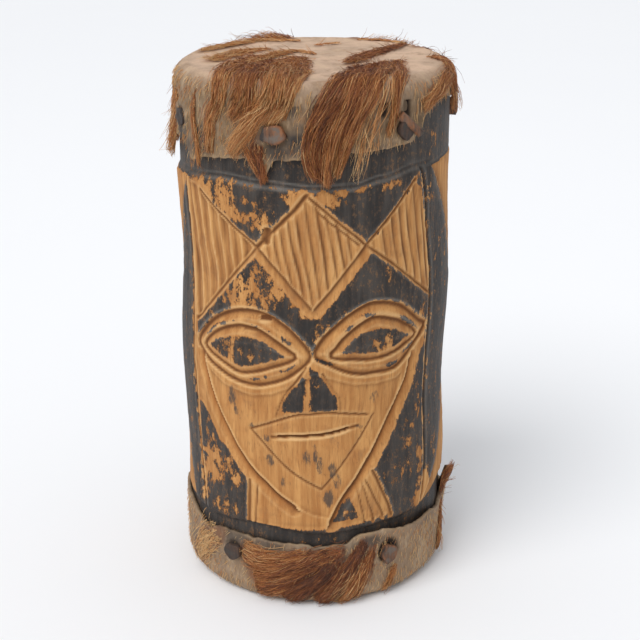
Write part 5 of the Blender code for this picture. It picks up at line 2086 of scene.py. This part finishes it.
@dataclass
class Studio:
    """White floor, soft light and the camera, in metres."""

    camera_place: Place = (0.0499, -0.6486, 0.3649)
    lens: float = 78.42
    sensor: float = 36.0
    aim_height: float = 0.1236
    aim_right: float = 0.00276
    floor_size: float = 14.0
    window_way: Place = (0.50, 0.78, -1.15)
    window_spread: float = 38.0
    window_energy: float = 1.75
    lamp_place: Place = (0.0, 0.15, 1.20)
    lamp_aim: Place = (0.0, 0.0, 0.2)
    lamp_size: float = 1.2
    lamp_energy: float = 1.6
    sky: Colour = (0.93, 0.96, 1.0)
    sky_strength: float = 0.60

    def build(self, surface: bpy.types.Material) -> None:
        """Build the floor, the lights and the camera.

        Args:
            surface: The floor's material.
        """
        builder = bmesh.new()
        bmesh.ops.create_grid(builder, x_segments=1, y_segments=1, size=self.floor_size / 2.0)
        floor = placed("studio_floor", mesh_from(builder, "studio_floor"))
        floor.data.materials.append(surface)
        self.lights()
        self.camera()

    @staticmethod
    def aim(item: bpy.types.Object, way: Vector) -> None:
        """Turn a light or the camera so that it looks a way."""
        item.rotation_euler = way.to_track_quat("-Z", "Y").to_euler()

    def lights(self) -> None:
        """Light the drum from a large window at the upper left, a soft lamp overhead and the room."""
        sun = bpy.data.lights.new("window", "SUN")
        sun.energy = self.window_energy
        sun.angle = math.radians(self.window_spread)
        self.aim(placed("window", sun), Vector(self.window_way))
        lamp = bpy.data.lights.new("overhead", "AREA")
        lamp.size = self.lamp_size
        lamp.energy = self.lamp_energy
        hung = placed("overhead", lamp)
        hung.location = self.lamp_place
        self.aim(hung, Vector(self.lamp_aim) - Vector(self.lamp_place))
        world = bpy.data.worlds.new("studio")
        world.use_nodes = True
        background = world.node_tree.nodes["Background"].inputs
        background["Color"].default_value = (*self.sky, 1.0)
        background["Strength"].default_value = self.sky_strength
        bpy.context.scene.world = world
        bpy.context.scene.view_settings.view_transform = "Standard"

    def camera(self) -> None:
        """Set the camera where the photograph was taken from."""
        lens = bpy.data.cameras.new("photograph")
        lens.lens = self.lens
        lens.sensor_width = self.sensor
        lens.clip_start = 0.01
        made = placed("photograph", lens)
        eye = Vector(self.camera_place)
        right = Vector((-eye.y, eye.x, 0.0)).normalized()
        made.location = eye
        self.aim(made, Vector((0.0, 0.0, self.aim_height)) + right * self.aim_right - eye)
        bpy.context.scene.camera = made


# Pegs, as (degrees round the drum, half width, half height, end) in millimetres, the two at the front first
TOP_PEGS = ((-10.6, 5.8, 4.2, PegShape.NUB), (40.8, 4.0, 4.6, PegShape.CHARRED),
            (92.3, 4.8, 4.2, PegShape.NUB), (143.7, 4.5, 4.5, PegShape.NUB), (195.1, 5.0, 4.0, PegShape.NUB),
            (246.6, 4.6, 4.4, PegShape.NUB), (298.0, 5.0, 4.0, PegShape.CHARRED))
BOTTOM_PEGS = ((-31.6, 4.8, 4.2, PegShape.CHARRED), (36.4, 4.2, 5.0, PegShape.NUB),
               (100.4, 4.6, 4.4, PegShape.NUB), (169.4, 4.8, 4.2, PegShape.NUB),
               (264.4, 4.4, 4.6, PegShape.NUB))
TOP_PEG_HEIGHT = 232.0
BOTTOM_PEG_HEIGHT = 24.5
# How far from the axis a peg's head reaches, at the front and where it is nearly flush
PROUD_HEAD = 68.9
FLUSH_HEAD = 66.9

# Stains of the hides as (u, z, half width, half height, amount), and slits without the amount
TOP_STAINS = ((-92, 228, 6, 9, 0.5), (-75, 227, 7, 9, 0.9), (-66, 220, 5, 4, 0.7), (-57, 225, 6, 7, 0.8),
              (-4, 228, 9, 6, 0.95), (-16, 224, 6, 5, 0.8), (-28, 224, 6, 7, 0.5), (9, 246, 8, 4, 0.6),
              (3, 240, 5, 6, 0.5), (-9, 243, 3, 4, 0.75), (52, 236, 3, 8, 0.35), (28, 225, 10, 3, 0.2),
              (120, 238, 12, 8, 0.4), (-140, 228, 16, 8, 0.5), (180, 230, 12, 8, 0.4))
TOP_SLITS = ((31.2, 243.4, 2.9, 6.0), (43.6, 241.2, 2.1, 6.0))
FOOT_STAINS = ((-60, 22, 12, 12, 0.26), (-74, 14, 10, 12, 0.30), (-40, 31, 9, 6, 0.75), (-22, 31, 8, 3, 0.7),
               (-52, 36, 8, 3, 0.5), (16, 29, 5, 6, 0.55), (28, 33, 7, 3, 0.7), (-34, 22, 3, 6, 0.5),
               (64, 33, 10, 3, 0.3), (0, 33, 12, 2, 0.5), (120, 26, 12, 8, 0.4), (-120, 28, 14, 6, 0.45))
FOOT_SLITS = ((36.9, 25.4, 6.0, 7.2),)


def main() -> None:
    """Build every piece of the drum and its studio."""
    logging.basicConfig(level=logging.INFO, format="%(message)s")
    finishes = Finishes(Effects())
    wood = finishes.carved_wood(WoodPaint())
    hide = finishes.goat_hide(Hide())
    hair = finishes.goat_hair(Hair())
    peg_wood = finishes.peg_wood(PegFinish())
    top, foot = HideForm(End.TOP), HideForm(End.BOTTOM)
    top_coats = (LEFT_COAT, MASS_COAT, RIGHT_COAT, STREAM_COAT, BACK_COAT)
    foot_coats = (FOOT_COAT, FOOT_BACK_COAT)

    CarvedTube().build(wood)
    HideSkin(top, "top_head", top_coats, TOP_PEGS, TOP_PEG_HEIGHT, TOP_STAINS, TOP_SLITS).build(hide)
    HideSkin(foot, "bottom_head", foot_coats, BOTTOM_PEGS, BOTTOM_PEG_HEIGHT, FOOT_STAINS, FOOT_SLITS,
             face_rows=8).build(hide)
    coats = [(top, coat) for coat in top_coats] + [(foot, coat) for coat in foot_coats]
    for seed, (form, coat) in enumerate(coats, start=100):
        GoatHair(form).build(coat, seed, hair)
    Stubble(top, "top_stubble", 3600, (1.5, 38.0), 0.84).build(hair, 300)
    Stubble(foot, "bottom_stubble", 3600, (4.0, 44.0), 0.90).build(hair, 301)
    rings = (("top", TOP_PEG_HEIGHT, TOP_PEGS, 1), ("bottom", BOTTOM_PEG_HEIGHT, BOTTOM_PEGS, 21))
    for ring, level, pegs, seed in rings:
        for rank, (degrees, half_width, half_height, shape) in enumerate(pegs):
            head = PROUD_HEAD if rank < 2 else FLUSH_HEAD
            peg = Peg(f"{ring}_peg_{rank + 1}", degrees, half_width, half_height, level, head, shape)
            peg.build(peg_wood, seed + rank)
    Twig().build(peg_wood)
    Studio().build(finishes.studio_floor(FloorFinish()))


if __name__ == "__main__":
    main()
